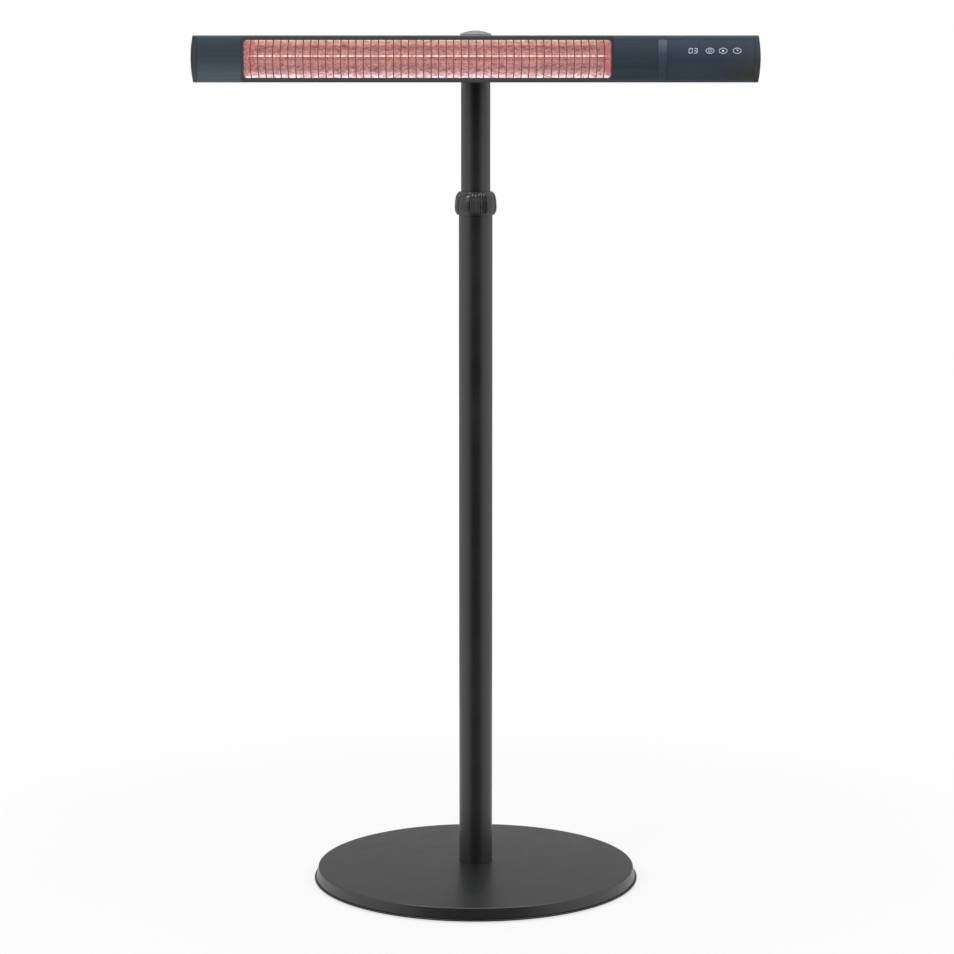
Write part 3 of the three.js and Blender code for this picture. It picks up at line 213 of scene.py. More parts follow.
def skin(rings, wrapped=False, hubs=None, flat=False):
    """A closed surface through rings of points, an array of rings x sides x 3.

    Quads join each ring to the next. A wrapped surface joins its last ring to its first, a flat
    one ends in one face each, and another ends in a fan of triangles round a hub, which is the
    ring's middle unless given.
    """
    count, sides = rings.shape[:2]
    ring, side = np.meshgrid(
        np.arange(count if wrapped else count - 1), np.arange(sides), indexing="ij"
    )
    after, beside = (ring + 1) % count, (side + 1) % sides
    corners = [(ring, side), (ring, beside), (after, beside), (after, side)]
    quads = np.stack([r * sides + s for r, s in corners], axis=-1).reshape(-1, 4)
    points, groups = rings.reshape(-1, 3), [quads]
    if flat:
        end = np.arange(sides)[None]
        groups += [end[:, ::-1], end + (count - 1) * sides]
    elif not wrapped:
        if hubs is None:
            hubs = rings[0].mean(axis=0), rings[-1].mean(axis=0)
        points = np.vstack([points, hubs])
        edge = np.arange(sides)
        turned_on = (edge + 1) % sides
        last = (count - 1) * sides
        first_hub = np.full(sides, count * sides)
        groups.append(np.stack([turned_on, edge, first_hub], axis=-1))
        groups.append(np.stack([last + edge, last + turned_on, first_hub + 1], axis=-1))
    return outward(points, groups)


def turned(radius, along, centre, axis, sides=96):
    """A profile turned about an axis: its radius and its distance along the axis by station.

    The radius may also change round the turn, as an array of stations x sides. A profile that
    starts and ends on the axis gets poles there, and another closes on itself.
    """
    radius, along = np.asarray(radius, float), np.asarray(along, float)
    if radius.ndim == 1:
        radius = np.repeat(radius[:, None], sides, axis=1)
    turn = np.linspace(0, 2 * np.pi, radius.shape[1], endpoint=False)
    rings = placed(radius * np.cos(turn), radius * np.sin(turn), along[:, None], axis) + centre
    if radius[0].max() > 0:
        return skin(rings, wrapped=True)
    return skin(rings[1:-1], hubs=(rings[0, 0], rings[-1, 0]))


def filleted(corners, steps=6):
    """An outline of (a, b, radius) corners, each replaced by an arc tangent to both its sides.

    The arc's centre lies on the corner's bisector, at the radius over the sine of half the
    corner's angle. Points that coincide are kept once.
    """
    corners = np.asarray(corners, float)
    point, radius = corners[:, :2], corners[:, 2]
    back = np.roll(point, 1, axis=0) - point
    ahead = np.roll(point, -1, axis=0) - point
    back /= np.linalg.norm(back, axis=1)[:, None]
    ahead /= np.linalg.norm(ahead, axis=1)[:, None]
    half = np.arccos(np.clip(np.sum(back * ahead, axis=1), -1, 1)) / 2
    bisector = back + ahead
    bisector /= np.maximum(np.linalg.norm(bisector, axis=1), 1e-9)[:, None]
    centre = point + bisector * (radius / np.sin(half))[:, None]
    reach = (radius / np.tan(half))[:, None]
    from_centre = point + back * reach - centre
    to_centre = point + ahead * reach - centre
    start = np.arctan2(from_centre[:, 1], from_centre[:, 0])
    sweep = np.arctan2(to_centre[:, 1], to_centre[:, 0]) - start
    sweep = (sweep + np.pi) % (2 * np.pi) - np.pi
    turn = start[:, None] + sweep[:, None] * np.linspace(0, 1, steps + 1)
    arc = np.stack([np.cos(turn), np.sin(turn)], axis=-1) * radius[:, None, None]
    outline = (centre[:, None] + arc).reshape(-1, 2)
    moved = np.linalg.norm(outline - np.roll(outline, 1, axis=0), axis=1)
    return outline[moved > 1e-8]


def divided(outline, parts):
    """An outline with each of its sides split into equal parts."""
    share = np.arange(parts)[:, None] / parts
    ahead = np.roll(outline, -1, axis=0)
    return (outline[:, None] * (1 - share) + ahead[:, None] * share).reshape(-1, 2)


def smooth_line(share, at, value):
    """A curve through a few values: straight between them, then averaged over a short stretch."""
    stretch = np.linspace(-0.03, 0.03, 7)
    return np.mean([np.interp(share + s, at, value) for s in stretch], axis=0)


def turned_outline(corners, centre, axis, sides=96):
    """An outline of (radius, distance, fillet) corners turned about an axis."""
    radius, along = filleted(corners).T
    return turned(radius, along, centre, axis, sides)


def sleeve(bore, radius, ends, rounds, centre, axis, sides=96):
    """A round tube between two ends along an axis; the rounds are its bore's and its outside's."""
    (start, end), (inner, outer) = ends, rounds
    corners = [(bore, start, inner), (radius, start, outer)]
    corners += [(radius, end, outer), (bore, end, inner)]
    return turned_outline(corners, centre, axis, sides)


def rod(radius, start, end, edge, centre, sides):
    """A solid round bar along X."""
    corners = [(0, start, 0), (radius, start, edge), (radius, end, edge), (0, end, 0)]
    return turned_outline(corners, centre, "X", sides)


def rounded_rectangle(low, high, inset, corner):
    """A rectangle between two corners of a plane, drawn in by an inset, with round corners."""
    (a0, b0), (a1, b1) = np.asarray(low) + inset, np.asarray(high) - inset
    arc = max(corner - inset, 0.02 * MM)
    return filleted([(a1, b0, arc), (a1, b1, arc), (a0, b1, arc), (a0, b0, arc)])


def rectangles(stations):
    """Rings of rounded rectangles square to Y, one for each (corners, inset, corner, y)."""
    return np.stack([
        placed(*rounded_rectangle(*ends, inset, corner).T, y, "Y")
        for ends, inset, corner, y in stations
    ])


def rolled_edge(edge, thickness, steps=4):
    """How far in and how far back the rings of a plate lie: a quarter circle at each edge."""
    turn = np.linspace(0, np.pi / 2, steps + 1)
    inset, depth = edge * (1 - np.sin(turn)), edge * (1 - np.cos(turn))
    return np.append(inset, inset[::-1]), np.append(depth, thickness - depth[::-1])


def slab(low, high, axis, corner, edge):
    """A flat plate between two corners, square to an axis, with its edges rolled over."""
    across = [k for k, name in enumerate("XYZ") if name != axis]
    base = low["XYZ".index(axis)]
    inset, depth = rolled_edge(edge, high["XYZ".index(axis)] - base)
    rings = [
        placed(*rounded_rectangle(low[across], high[across], i, corner).T, base + d, axis)
        for i, d in zip(inset, depth)
    ]
    return skin(np.stack(rings))


def prism(outline, start, end, axis):
    """A closed outline carried straight along an axis, with flat ends of one face each."""
    return skin(np.stack([placed(*outline.T, w, axis) for w in (start, end)]), flat=True)


def swept(path, reference, radius, sides):
    """A round tube along a path; the reference, made square to the path, starts its section."""
    tangent = np.gradient(path, axis=0)
    tangent /= np.linalg.norm(tangent, axis=1)[:, None]
    normal = reference - np.sum(reference * tangent, axis=1)[:, None] * tangent
    normal /= np.linalg.norm(normal, axis=1)[:, None]
    across = np.cross(tangent, normal)
    turn = np.linspace(0, 2 * np.pi, sides, endpoint=False)[None, :, None]
    ring = normal[:, None] * np.cos(turn) + across[:, None] * np.sin(turn)
    return skin(path[:, None] + radius * ring)


def repeated(part, shifts):
    """Copies of a surface, one for each shift."""
    points, groups = part
    many = (points[None] + shifts[:, None]).reshape(-1, 3)
    step = len(points) * np.arange(len(shifts))
    return many, [
        (group[None] + step[:, None, None]).reshape(-1, group.shape[1]) for group in groups
    ]


def mesh_of(name, parts):
    """One mesh of all the given closed surfaces, smooth except at crisp edges."""
    points, faces, first = [], [], 0
    for part_points, groups in parts:
        points.append(part_points)
        for group in groups:
            faces += (group + first).tolist()
        first += len(part_points)
    mesh = bpy.data.meshes.new(name)
    mesh.from_pydata(np.vstack(points).tolist(), [], faces)
    mesh.shade_smooth()
    mesh.set_sharp_from_angle(angle=SHARP)
    return mesh


def piece(name, parts, finish, body, nodes=()):
    """An object of closed surfaces that rides on a body and stands for the given CAD nodes."""
    mesh = mesh_of(name, parts)
    mesh.materials.append(finish)
    shown = bpy.data.objects.new(name, mesh)
    bpy.context.scene.collection.objects.link(shown)
    flat = shown.modifiers.new("Flat faces shade flat", "WEIGHTED_NORMAL")
    flat.keep_sharp = True
    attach(shown, body)
    if nodes:
        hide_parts(*nodes)
    return shown


def stand_in(name, node, parts, finish=None):
    """A finer piece in the place of one CAD node, with that node's body and finish."""
    slot = SLOT_OF[node]
    return piece(name, parts, finish or FINISH[slot], BODY_OF[node], [node])


# ---- Finishes ------------------------------------------------------------------------------

def linear(code):
    """An sRGB hex colour as linear red, green, blue and alpha."""
    shade = np.array([int(code[k : k + 2], 16) for k in (0, 2, 4)]) / 255
    shade = np.where(shade <= 0.04045, shade / 12.92, ((shade + 0.055) / 1.055) ** 2.4)
    return (*shade.tolist(), 1.0)


def add_node(tree, kind, inputs=None, **settings):
    """Adds a node with its settings; an input gets a value or another node's output."""
    node = tree.nodes.new("ShaderNode" + kind)
    for key, value in settings.items():
        setattr(node, key, value)
    for key, value in (inputs or {}).items():
        if isinstance(value, bpy.types.NodeSocket):
            tree.links.new(value, node.inputs[key])
        else:
            node.inputs[key].default_value = value
    return node


def begin(name, **values):
    """A new material with its shader's own values: its node tree, shader and coordinates."""
    finish = bpy.data.materials.new(name)
    finish.use_nodes = True
    tree = finish.node_tree
    shader = tree.nodes["Principled BSDF"]
    for key, value in values.items():
        shader.inputs[key.replace("_", " ")].default_value = value
    return finish, tree, shader, add_node(tree, "TexCoord").outputs["Object"]


COLOUR_A, COLOUR_B, COLOUR_OUT = 6, 7, 2     # a Mix node's sockets for colours
NUMBER_A, NUMBER_B, NUMBER_OUT = 2, 3, 0     # and for numbers
EXTRUDED = (0.01, 1, 1)                      # draw lines and grain run along the extrusion
NOISE_LOW, NOISE_HIGH = 0.32, 0.68           # nearly all of the noise lies between these


def patches(tree, place, size, stretch=(1, 1, 1), low=0.0, high=1.0):
    """A value that wanders between a low and a high over patches of a size, in metres."""
    place = add_node(tree, "Mapping", {"Vector": place, "Scale": stretch}).outputs["Vector"]
    noise = add_node(tree, "TexNoise", {"Vector": place, "Scale": 1 / size, "Detail": 4.0})
    inputs = {"Value": noise.outputs["Fac"], "From Min": NOISE_LOW, "From Max": NOISE_HIGH}
    inputs |= {"To Min": low, "To Max": high}
    return add_node(tree, "MapRange", inputs).outputs["Result"]


def vary(tree, shader, socket, share, low, high):
    """Lets one of the shader's values go from a low to a high with a share."""
    value = add_node(tree, "MapRange", {"Value": share, "To Min": low, "To Max": high})
    tree.links.new(value.outputs["Result"], shader.inputs[socket])


def uneven(tree, shader, place, size, colours, rough, stretch=(1, 1, 1)):
    """Lets colour and roughness wander together over patches of a size, in metres."""
    share = patches(tree, place, size, stretch)
    inputs = {"Factor": share, COLOUR_A: linear(colours[0]), COLOUR_B: linear(colours[1])}
    colour = add_node(tree, "Mix", inputs, data_type="RGBA").outputs[COLOUR_OUT]
    tree.links.new(colour, shader.inputs["Base Color"])
    vary(tree, shader, "Roughness", share, *rough)
    return share


def toned(tree, shader, colour, place, size, rough, stretch=(1, 1, 1)):
    """Lets a colour that changes over the piece, and its roughness, also wander over patches."""
    share = patches(tree, place, size, stretch)
    shade = add_node(tree, "MapRange", {"Value": share, "To Min": 0.93, "To Max": 1.07}).outputs[0]
    inputs = {"Factor": 1.0, COLOUR_A: colour, COLOUR_B: shade}
    colour = add_node(tree, "Mix", inputs, data_type="RGBA", blend_type="MULTIPLY")
    tree.links.new(colour.outputs[COLOUR_OUT], shader.inputs["Base Color"])
    vary(tree, shader, "Roughness", share, *rough)


def share_along(tree, place, axis, start, end):
    """How far along an axis a point lies between two ends, from 0 to 1."""
    at = add_node(tree, "SeparateXYZ", {"Vector": place}).outputs[axis]
    inputs = {"Value": at, "From Min": float(start), "From Max": float(end)}
    return add_node(tree, "MapRange", inputs).outputs["Result"]


def tones_along(tree, place, axis, node, stops):
    """A colour that runs through (share, sRGB) stops from a CAD node's one side to its other."""
    start, end = (corner["XYZ".index(axis)] for corner in limits(node))
    ramp = add_node(tree, "ValToRGB", {"Fac": share_along(tree, place, axis, start, end)})
    while len(ramp.color_ramp.elements) < len(stops):
        ramp.color_ramp.elements.new(0.5)
    for element, (at, code) in zip(ramp.color_ramp.elements, stops):
        element.position, element.color = at, linear(code)
    return ramp.outputs["Color"]


def relief(tree, shader, place, size, depth, stretch=(1, 1, 1)):
    """A fine relief of a grain size and a depth, both in metres."""
    place = add_node(tree, "Mapping", {"Vector": place, "Scale": stretch}).outputs["Vector"]
    noise = add_node(tree, "TexNoise", {"Vector": place, "Scale": 1 / size, "Detail": 2.0})
    bump = add_node(tree, "Bump", {"Height": noise.outputs["Fac"], "Distance": depth})
    tree.links.new(bump.outputs["Normal"], shader.inputs["Normal"])


def even_finish(name, size, colours, rough, grain, depth, **values):
    """The same material all over: patches of a size in shade and gloss, and a fine relief."""
    finish, tree, shader, place = begin(name, **values)
    uneven(tree, shader, place, size, colours, rough)
    relief(tree, shader, place, grain, depth)
    return finish


def powder_coat():
    """Polyester powder coat baked on steel: satin black with a shallow orange peel."""
    return even_finish(
        "satin_black_powder_coat", 60 * MM, ("151617", "1b1c1d"), (0.3, 0.37),
        1.2 * MM, 0.012 * MM, IOR=1.6
    )


def housing_coat():
    """Extruded aluminium in a satin blue-grey coat, with painted light and shade on the rails; along the window
    the rails are greyer.
    """
    finish, tree, shader, place = begin("satin_blue_grey_housing", IOR=1.5)
    # Painted light and shade: the rails' tones change from end to end, with one ramp at their foot and one at
    # their crown, blended by height.
    foot = tones_along(tree, place, "X", "head_shell", (
        (0.0, "525b61"), (0.077, "505960"), (0.083, "3e3c3f"),
        (0.744, "3d3b3e"), (0.75, "363e48"), (1.0, "343c46"),
    ))
    crown = tones_along(tree, place, "X", "head_shell", (
        (0.0, "434c54"), (0.077, "414a53"), (0.083, "403d41"),
        (0.744, "3b3a3e"), (0.75, "424a55"), (1.0, "424a55"),
    ))
    low, high = limits("head_shell")
    rise = share_along(tree, place, "Z", low[2], high[2])
    inputs = {"Factor": rise, COLOUR_A: foot, COLOUR_B: crown}
    rails = add_node(tree, "Mix", inputs, data_type="RGBA").outputs[COLOUR_OUT]
    inwards = share_along(tree, place, "Y", low[1] + 0.5 * MM, low[1] + 5 * MM)
    inputs = {"Factor": inwards, COLOUR_A: rails, COLOUR_B: linear("39434d")}
    colour = add_node(tree, "Mix", inputs, data_type="RGBA").outputs[COLOUR_OUT]
    toned(tree, shader, colour, place, 3 * MM, (0.36, 0.46), EXTRUDED)
    relief(tree, shader, place, 0.6 * MM, 0.006 * MM, EXTRUDED)
    return finish


def panel_coat(name, stops):
    """The housing's satin coat on a front panel, with painted light and shade whose tone changes from its foot
    upwards.
    """
    finish, tree, shader, place = begin(name, IOR=1.5)
    # Painted light and shade, from the panel's foot to its top.
    colour = tones_along(tree, place, "Z", "blank_panel_left", stops)
    toned(tree, shader, colour, place, 3 * MM, (0.36, 0.46), EXTRUDED)
    relief(tree, shader, place, 0.6 * MM, 0.006 * MM, EXTRUDED)
    return finish


def left_panel_coat():
    """Left blank front: painted light makes it palest at its foot."""
    return panel_coat("satin_coat_left_panel", (
        (0.16, "46525a"), (0.43, "35404b"),
        (0.7, "2f3a45"), (0.89, "36434d"),
    ))


def right_panel_coat():
    """Right blank front: painted shade makes it darker towards its foot."""
    return panel_coat("satin_coat_right_panel", (
        (0.14, "283440"), (0.34, "252f3c"),
        (0.7, "2d3a47"), (0.89, "374150"),
    ))


def end_cap_coat(name, stops):
    """The same coat on a moulded end cap, with painted light and shade whose tone changes from its foot upwards.
    """
    finish, tree, shader, place = begin(name, IOR=1.5)
    # Painted light and shade, from the cap's foot to its top.
    colour = tones_along(tree, place, "Z", "end_cap_left", stops)
    toned(tree, shader, colour, place, 20 * MM, (0.38, 0.46))
    relief(tree, shader, place, 0.8 * MM, 0.01 * MM)
    return finish


def left_cap_coat():
    """Left end cap: a shade darker than the panel beside it."""
    return end_cap_coat("satin_coat_left_cap", (
        (0.15, "3e474c"), (0.45, "373d42"), (0.9, "343b42"),
    ))


def right_cap_coat():
    """Right end cap: its painted shade grows browner towards its foot, as on the glass beside it."""
    return end_cap_coat("satin_coat_right_cap", (
        (0.15, "343432"), (0.5, "34383d"), (0.9, "414952"),
    ))


def surround_coat():
    """Frame round the window: a neutral grey coat, blue-grey at its ends."""
    finish, tree, shader, place = begin("heat_greyed_frame_coat", IOR=1.5)
    colour = tones_along(tree, place, "X", "window_frame", (
        (0.006, "353e48"), (0.014, "433f41"),
        (0.986, "433f41"), (0.994, "293540"),
    ))
    toned(tree, shader, colour, place, 8 * MM, (0.36, 0.46))
    relief(tree, shader, place, 0.8 * MM, 0.008 * MM)
    return finish


def touch_glass():
    """Tempered glass, blue-grey from behind, glossy, with painted light and shade: paler at its top, warmer at its
    outer foot.
    """
    finish, tree, shader, place = begin(
        "back_printed_tempered_glass", IOR=1.52, Coat_Weight=0.4, Coat_Roughness=0.03
    )
    # Painted light and shade: tones by height, warmer towards the glass's outer end.
    cool = tones_along(tree, place, "Z", "control_glass", (
        (0.12, "333a44"), (0.25, "333b45"),
        (0.48, "303a47"), (0.89, "434e5b"),
    ))
    warm = tones_along(tree, place, "Z", "control_glass", ((0.2, "373734"), (0.85, "464e58")))
    low, high = limits("control_glass")
    outer = share_along(tree, place, "X", low[0] + 0.55 * (high[0] - low[0]), high[0])
    inputs = {"Factor": outer, COLOUR_A: cool, COLOUR_B: warm}
    colour = add_node(tree, "Mix", inputs, data_type="RGBA").outputs[COLOUR_OUT]
    toned(tree, shader, colour, place, 90 * MM, (0.1, 0.16))
    return finish


def smoked_window():
    """Smoked polycarbonate over the receiver: glossy, with painted light that makes it palest at its top."""
    finish, tree, shader, place = begin("smoked_polycarbonate", IOR=1.58)
    # Painted light: the strip grows paler towards its top.
    colour = tones_along(tree, place, "Z", "receiver_window", (
        (0.14, "323c47"), (0.34, "333d48"),
        (0.62, "3d4a57"), (0.89, "616b7c"),
    ))
    toned(tree, shader, colour, place, 2.2 * MM, (0.14, 0.2), (1, 1, 0.04))
    return finish


def polished_reflector():
    """Polished aluminium mirror sheet, mottled by its rolled waves, with the lamp's rose light painted on as a
    tint and a glow.
    """
    finish, tree, shader, place = begin("polished_reflector_sheet", Metallic=1.0)
    # Painted light: the rose tint of the mirror stands in for the lamp's light on it.
    uneven(tree, shader, place, 9 * MM, ("cdb5b0", "e6d6d2"), (0.08, 0.16), (0.6, 1, 2))
    relief(tree, shader, place, 3 * MM, 0.08 * MM, (1, 1, 0.4))
    # Painted light and reflection: a glow in bands up the trough's height, broken into cells and streaks, though
    # the trough is no lamp.
    painted_glow = tones_along(tree, place, "Z", "reflector", (
        (0.1, "d6ccd0"), (0.16, "aa9094"), (0.25, "8a6a6c"), (0.4, "805a58"), (0.6, "825e5a"),
        (0.72, "80544f"), (0.8, "7a524a"), (0.84, "8e6c64"), (0.88, "745248"), (0.93, "b8a49c"),
    ))
    cells = patches(tree, place, 6 * MM, (1, 1, 1.4), 0.35, 1.65)
    streaks = patches(tree, place, 2.6 * MM, (1, 1, 0.12), 0.7, 1.3)
    strength = add_node(tree, "Math", {0: cells, 1: streaks}, operation="MULTIPLY").outputs[0]
    tree.links.new(painted_glow, shader.inputs["Emission Color"])
    tree.links.new(strength, shader.inputs["Emission Strength"])
    return finish


def rosy_end_sheet():
    """The trough's ends: the same sheet, dulled, with a painted rose tint and glow for the lamp's light."""
    finish, tree, shader, place = begin(
        "heat_reddened_end_sheet", Metallic=1.0, Emission_Strength=0.6
    )
    # Painted light: the reddened tint stands in for the lamp's light on the sheet.
    uneven(tree, shader, place, 5 * MM, ("946064", "bc9290"), (0.4, 0.55))
    relief(tree, shader, place, 2 * MM, 0.06 * MM)
    # Painted light: a rose glow over patches, though the sheet is no lamp.
    share = patches(tree, place, 4 * MM, (1, 1, 1), -0.125, 1.125)
    inputs = {"Factor": share, COLOUR_A: linear("8e444e"), COLOUR_B: linear("c08a8c")}
    painted_glow = add_node(tree, "Mix", inputs, data_type="RGBA").outputs[COLOUR_OUT]
    tree.links.new(painted_glow, shader.inputs["Emission Color"])
    return finish


def quartz_glass():
    """Fused quartz, almost clear, with two broken lines of painted highlight along its wall."""
    finish, tree, shader, place = begin(
        "clear_fused_quartz", IOR=1.46, Transmission_Weight=1.0
    )
    uneven(tree, shader, place, 30 * MM, ("fbf0ee", "fff8f6"), (0.01, 0.04))
    # Painted highlight: two bands of glow by height, cut off near the tube's ends and broken into dashes.
    line = tones_along(tree, place, "Z", "quartz_tube", (
        (0.25, "000000"), (0.29, "8a605a"), (0.33, "000000"), (0.75, "000000"), (0.79, "f2d2ca"),
        (0.84, "f2d2ca"), (0.88, "000000"),
    ))
    inside = tones_along(tree, place, "X", "quartz_tube", (
        (0.02, "000000"), (0.04, "ffffff"), (0.96, "ffffff"), (0.98, "000000"),
    ))
    inputs = {"Factor": 1.0, COLOUR_A: line, COLOUR_B: inside}
    line = add_node(tree, "Mix", inputs, data_type="RGBA", blend_type="MULTIPLY")
    tree.links.new(line.outputs[COLOUR_OUT], shader.inputs["Emission Color"])
    highlight_dashes = patches(tree, place, 6 * MM, (1, 0, 0), 0.05, 0.7)
    tree.links.new(highlight_dashes, shader.inputs["Emission Strength"])
    return finish


def glowing_wire():
    """Resistance wire barely aglow: a dull rose-brown, a little uneven along its length."""
    finish, tree, shader, place = begin(
        "glowing_resistance_wire", IOR=1.5, Emission_Color=linear("dcb4ac")
    )
    share = uneven(tree, shader, place, 25 * MM, ("7c4c44", "946058"), (0.5, 0.6))
    vary(tree, shader, "Emission Strength", share, 0.4, 0.65)
    return finish


def guard_wire():
    """Steel wire in a warm red-brown that has lost the metal's shine."""
    return even_finish(
        "heat_browned_steel_wire", 9 * MM, ("7a3e38", "904c46"), (0.4, 0.55),
        0.6 * MM, 0.01 * MM, IOR=1.5
    )


def moulded_black():
    """Moulded black nylon: satin, with the fine spark-eroded texture of its tool."""
    return even_finish(
        "moulded_black_nylon", 25 * MM, ("1a1b1d", "222325"), (0.36, 0.46),
        0.5 * MM, 0.02 * MM, IOR=1.53
    )


def grip_nylon():
    """Glass-filled nylon of the grip ring: blacker and glossier than the other mouldings."""
    return even_finish(
        "glossy_black_nylon", 12 * MM, ("131415", "1a1b1c"), (0.2, 0.3),
        0.6 * MM, 0.012 * MM, IOR=1.6
    )


def moulded_white():
    """Natural acetal: off-white, waxy and slightly see-through at its edges."""
    return even_finish(
        "natural_acetal", 12 * MM, ("d2d0ca", "dedcd6"), (0.4, 0.5),
        0.8 * MM, 0.01 * MM, IOR=1.48,
        Subsurface_Weight=0.1, Subsurface_Radius=(2 * MM, 2 * MM, 1.5 * MM)
    )


def zinc_steel():
    """Bright zinc-plated steel: a grey metal, softly streaked where it was turned."""
    finish, tree, shader, place = begin("zinc_plated_steel", Metallic=1.0)
    uneven(tree, shader, place, 2 * MM, ("9fa2a6", "bcbfc2"), (0.26, 0.38), (1, 1, 4))
    relief(tree, shader, place, 0.4 * MM, 0.006 * MM, (1, 1, 6))
    return finish


def satin_grey_cap():
    """Light grey satin lacquer on a moulded cap."""
    return even_finish(
        "satin_light_grey_lacquer", 10 * MM, ("717476", "7a7d7f"), (0.36, 0.44),
        0.9 * MM, 0.012 * MM, IOR=1.5
    )


def pad_rubber():
    """Moulded rubber: matt black with a fine grain that hardly shines."""
    return even_finish(
        "moulded_black_rubber", 6 * MM, ("161617", "1f1f20"), (0.75, 0.88),
        0.4 * MM, 0.04 * MM, IOR=1.52
    )


def lamp_ceramic():
    """Unglazed steatite: matt, off-white and slightly speckled."""
    return even_finish(
        "unglazed_steatite", 1.5 * MM, ("cfc9bb", "ddd8cc"), (0.6, 0.75),
        0.5 * MM, 0.03 * MM, IOR=1.6
    )


def silicone_sleeve():
    """Silicone-coated glass braid: warm grey, ribbed finely by the braid under it."""
    return even_finish(
        "silicone_coated_braid", 1 * MM, ("a49d92", "b8b1a6"), (0.5, 0.62),
        0.6 * MM, 0.08 * MM, IOR=1.43
    )


def solder_mask():
    """Green solder mask over copper tracks: glossy, paler along the tracks."""
    finish, tree, shader, place = begin("green_solder_mask", IOR=1.5)
    uneven(tree, shader, place, 2.5 * MM, ("1c4a30", "2c6442"), (0.22, 0.34), (0.3, 1, 1))
    return finish


def lit_print():
    """White marks lit from behind: an even cool white, softer than the glass round them."""
    finish, tree, shader, place = begin(
        "back_lit_white_print", IOR=1.5, Emission_Color=linear("dfe5ec"), Emission_Strength=0.4
    )
    uneven(tree, shader, place, 3 * MM, ("a4adb8", "b4bdc7"), (0.35, 0.45))
    return finish


FINISH = {
    "black_coat": powder_coat(),
    "black_plastic": moulded_black(),
    "white_plastic": moulded_white(),
    "blue_grey_coat": housing_coat(),
    "control_glass": touch_glass(),
    "smoked_plastic": smoked_window(),
    "polished_red": polished_reflector(),
    "dark_wire": guard_wire(),
    "quartz": quartz_glass(),
    "glowing_wire": glowing_wire(),
    "ceramic": lamp_ceramic(),
    "steel": zinc_steel(),
    "grey_cap": satin_grey_cap(),
    "rubber": pad_rubber(),
    "lead_sleeve": silicone_sleeve(),
    "circuit_board": solder_mask(),
}
MARK_FINISH = lit_print()


# ---- Camera, lights, floor -----------------------------------------------------------------

IMAGE_SIDE = 954
FOCAL_PIXELS = 3022.7
SENSOR = 36.0
CAMERA_AT = (0.002, -4.5653, 1.2826)
CAMERA_DOWN = 0.14225            # radians below the horizon


def add_camera():
    """A long lens a little above the head, looking down the column."""
    lens = bpy.data.cameras.new("catalogue_camera")
    lens.sensor_width = SENSOR
    lens.lens = FOCAL_PIXELS * SENSOR / IMAGE_SIDE
    lens.clip_end = 60
    camera = bpy.data.objects.new("catalogue_camera", lens)
    camera.location = CAMERA_AT
    camera.rotation_euler = (math.pi / 2 - CAMERA_DOWN, 0, 0)
    bpy.context.scene.collection.objects.link(camera)
    bpy.context.scene.camera = camera


ROOM_LEVEL = 0.6                 # light of the walls on the object
FRONT_LEVEL = 0.04               # dark side of the room, in front, as gloss shows it
BACK_LEVEL = 0.42                # far side of the room, as gloss shows it
FLOOR_R = 1.3
FLOOR_T = 5 * MM
FLOOR_WHITE = 0.72               # share of the floor that shows pure white to the camera


def front_to_side(tree, depth):
    """Level of the surroundings as gloss shows it, by how far a direction points to the front."""
    inputs = {"Value": depth, "From Min": -0.95, "From Max": -0.5}
    inputs |= {"To Min": FRONT_LEVEL, "To Max": 1.0}
    return add_node(tree, "MapRange", inputs, interpolation_type="SMOOTHSTEP").outputs["Result"]


def add_room():
    """White surroundings for the eye; in gloss they are dark in front and dimmed at the back."""
    world = bpy.data.worlds.new("white_studio")
    bpy.context.scene.world = world
    world.use_nodes = True
    tree = world.node_tree
    ray = add_node(tree, "LightPath").outputs
    direction = add_node(tree, "TexCoord").outputs["Generated"]
    depth = add_node(tree, "SeparateXYZ", {"Vector": direction}).outputs["Y"]
    side = front_to_side(tree, depth)
    inputs = {"Value": depth, "From Min": 0.3, "From Max": 0.95}
    inputs |= {"To Min": 1.0, "To Max": BACK_LEVEL}
    rear = add_node(tree, "MapRange", inputs, interpolation_type="SMOOTHSTEP").outputs["Result"]
    around = add_node(tree, "Math", {0: side, 1: rear}, operation="MULTIPLY").outputs[0]
    rays = {0: ray["Is Glossy Ray"], 1: ray["Is Transmission Ray"]}
    gloss = add_node(tree, "Math", rays, operation="MAXIMUM").outputs[0]
    inputs = {"Factor": gloss, NUMBER_A: ROOM_LEVEL, NUMBER_B: around}
    level = add_node(tree, "Mix", inputs).outputs[NUMBER_OUT]
    inputs = {0: level, 1: ray["Is Camera Ray"]}
    shown = add_node(tree, "Math", inputs, operation="MAXIMUM").outputs[0]
    background = tree.nodes["Background"]
    background.inputs["Color"].default_value = (1, 1, 1, 1)
    tree.links.new(shown, background.inputs["Strength"])


def add_lamp(name, place, aim, size, power):
    """A square soft box at a place, turned towards its aim."""
    lamp = bpy.data.lights.new(name, "AREA")
    lamp.size, lamp.energy = size, power
    holder = bpy.data.objects.new(name, lamp)
    holder.location = place
    look = np.array(aim) - np.array(place)
    level = math.hypot(look[0], look[1])
    turn = math.atan2(look[1], look[0]) - math.pi / 2
    holder.rotation_euler = (math.atan2(level, -look[2]), 0, turn)
    bpy.context.scene.collection.objects.link(holder)


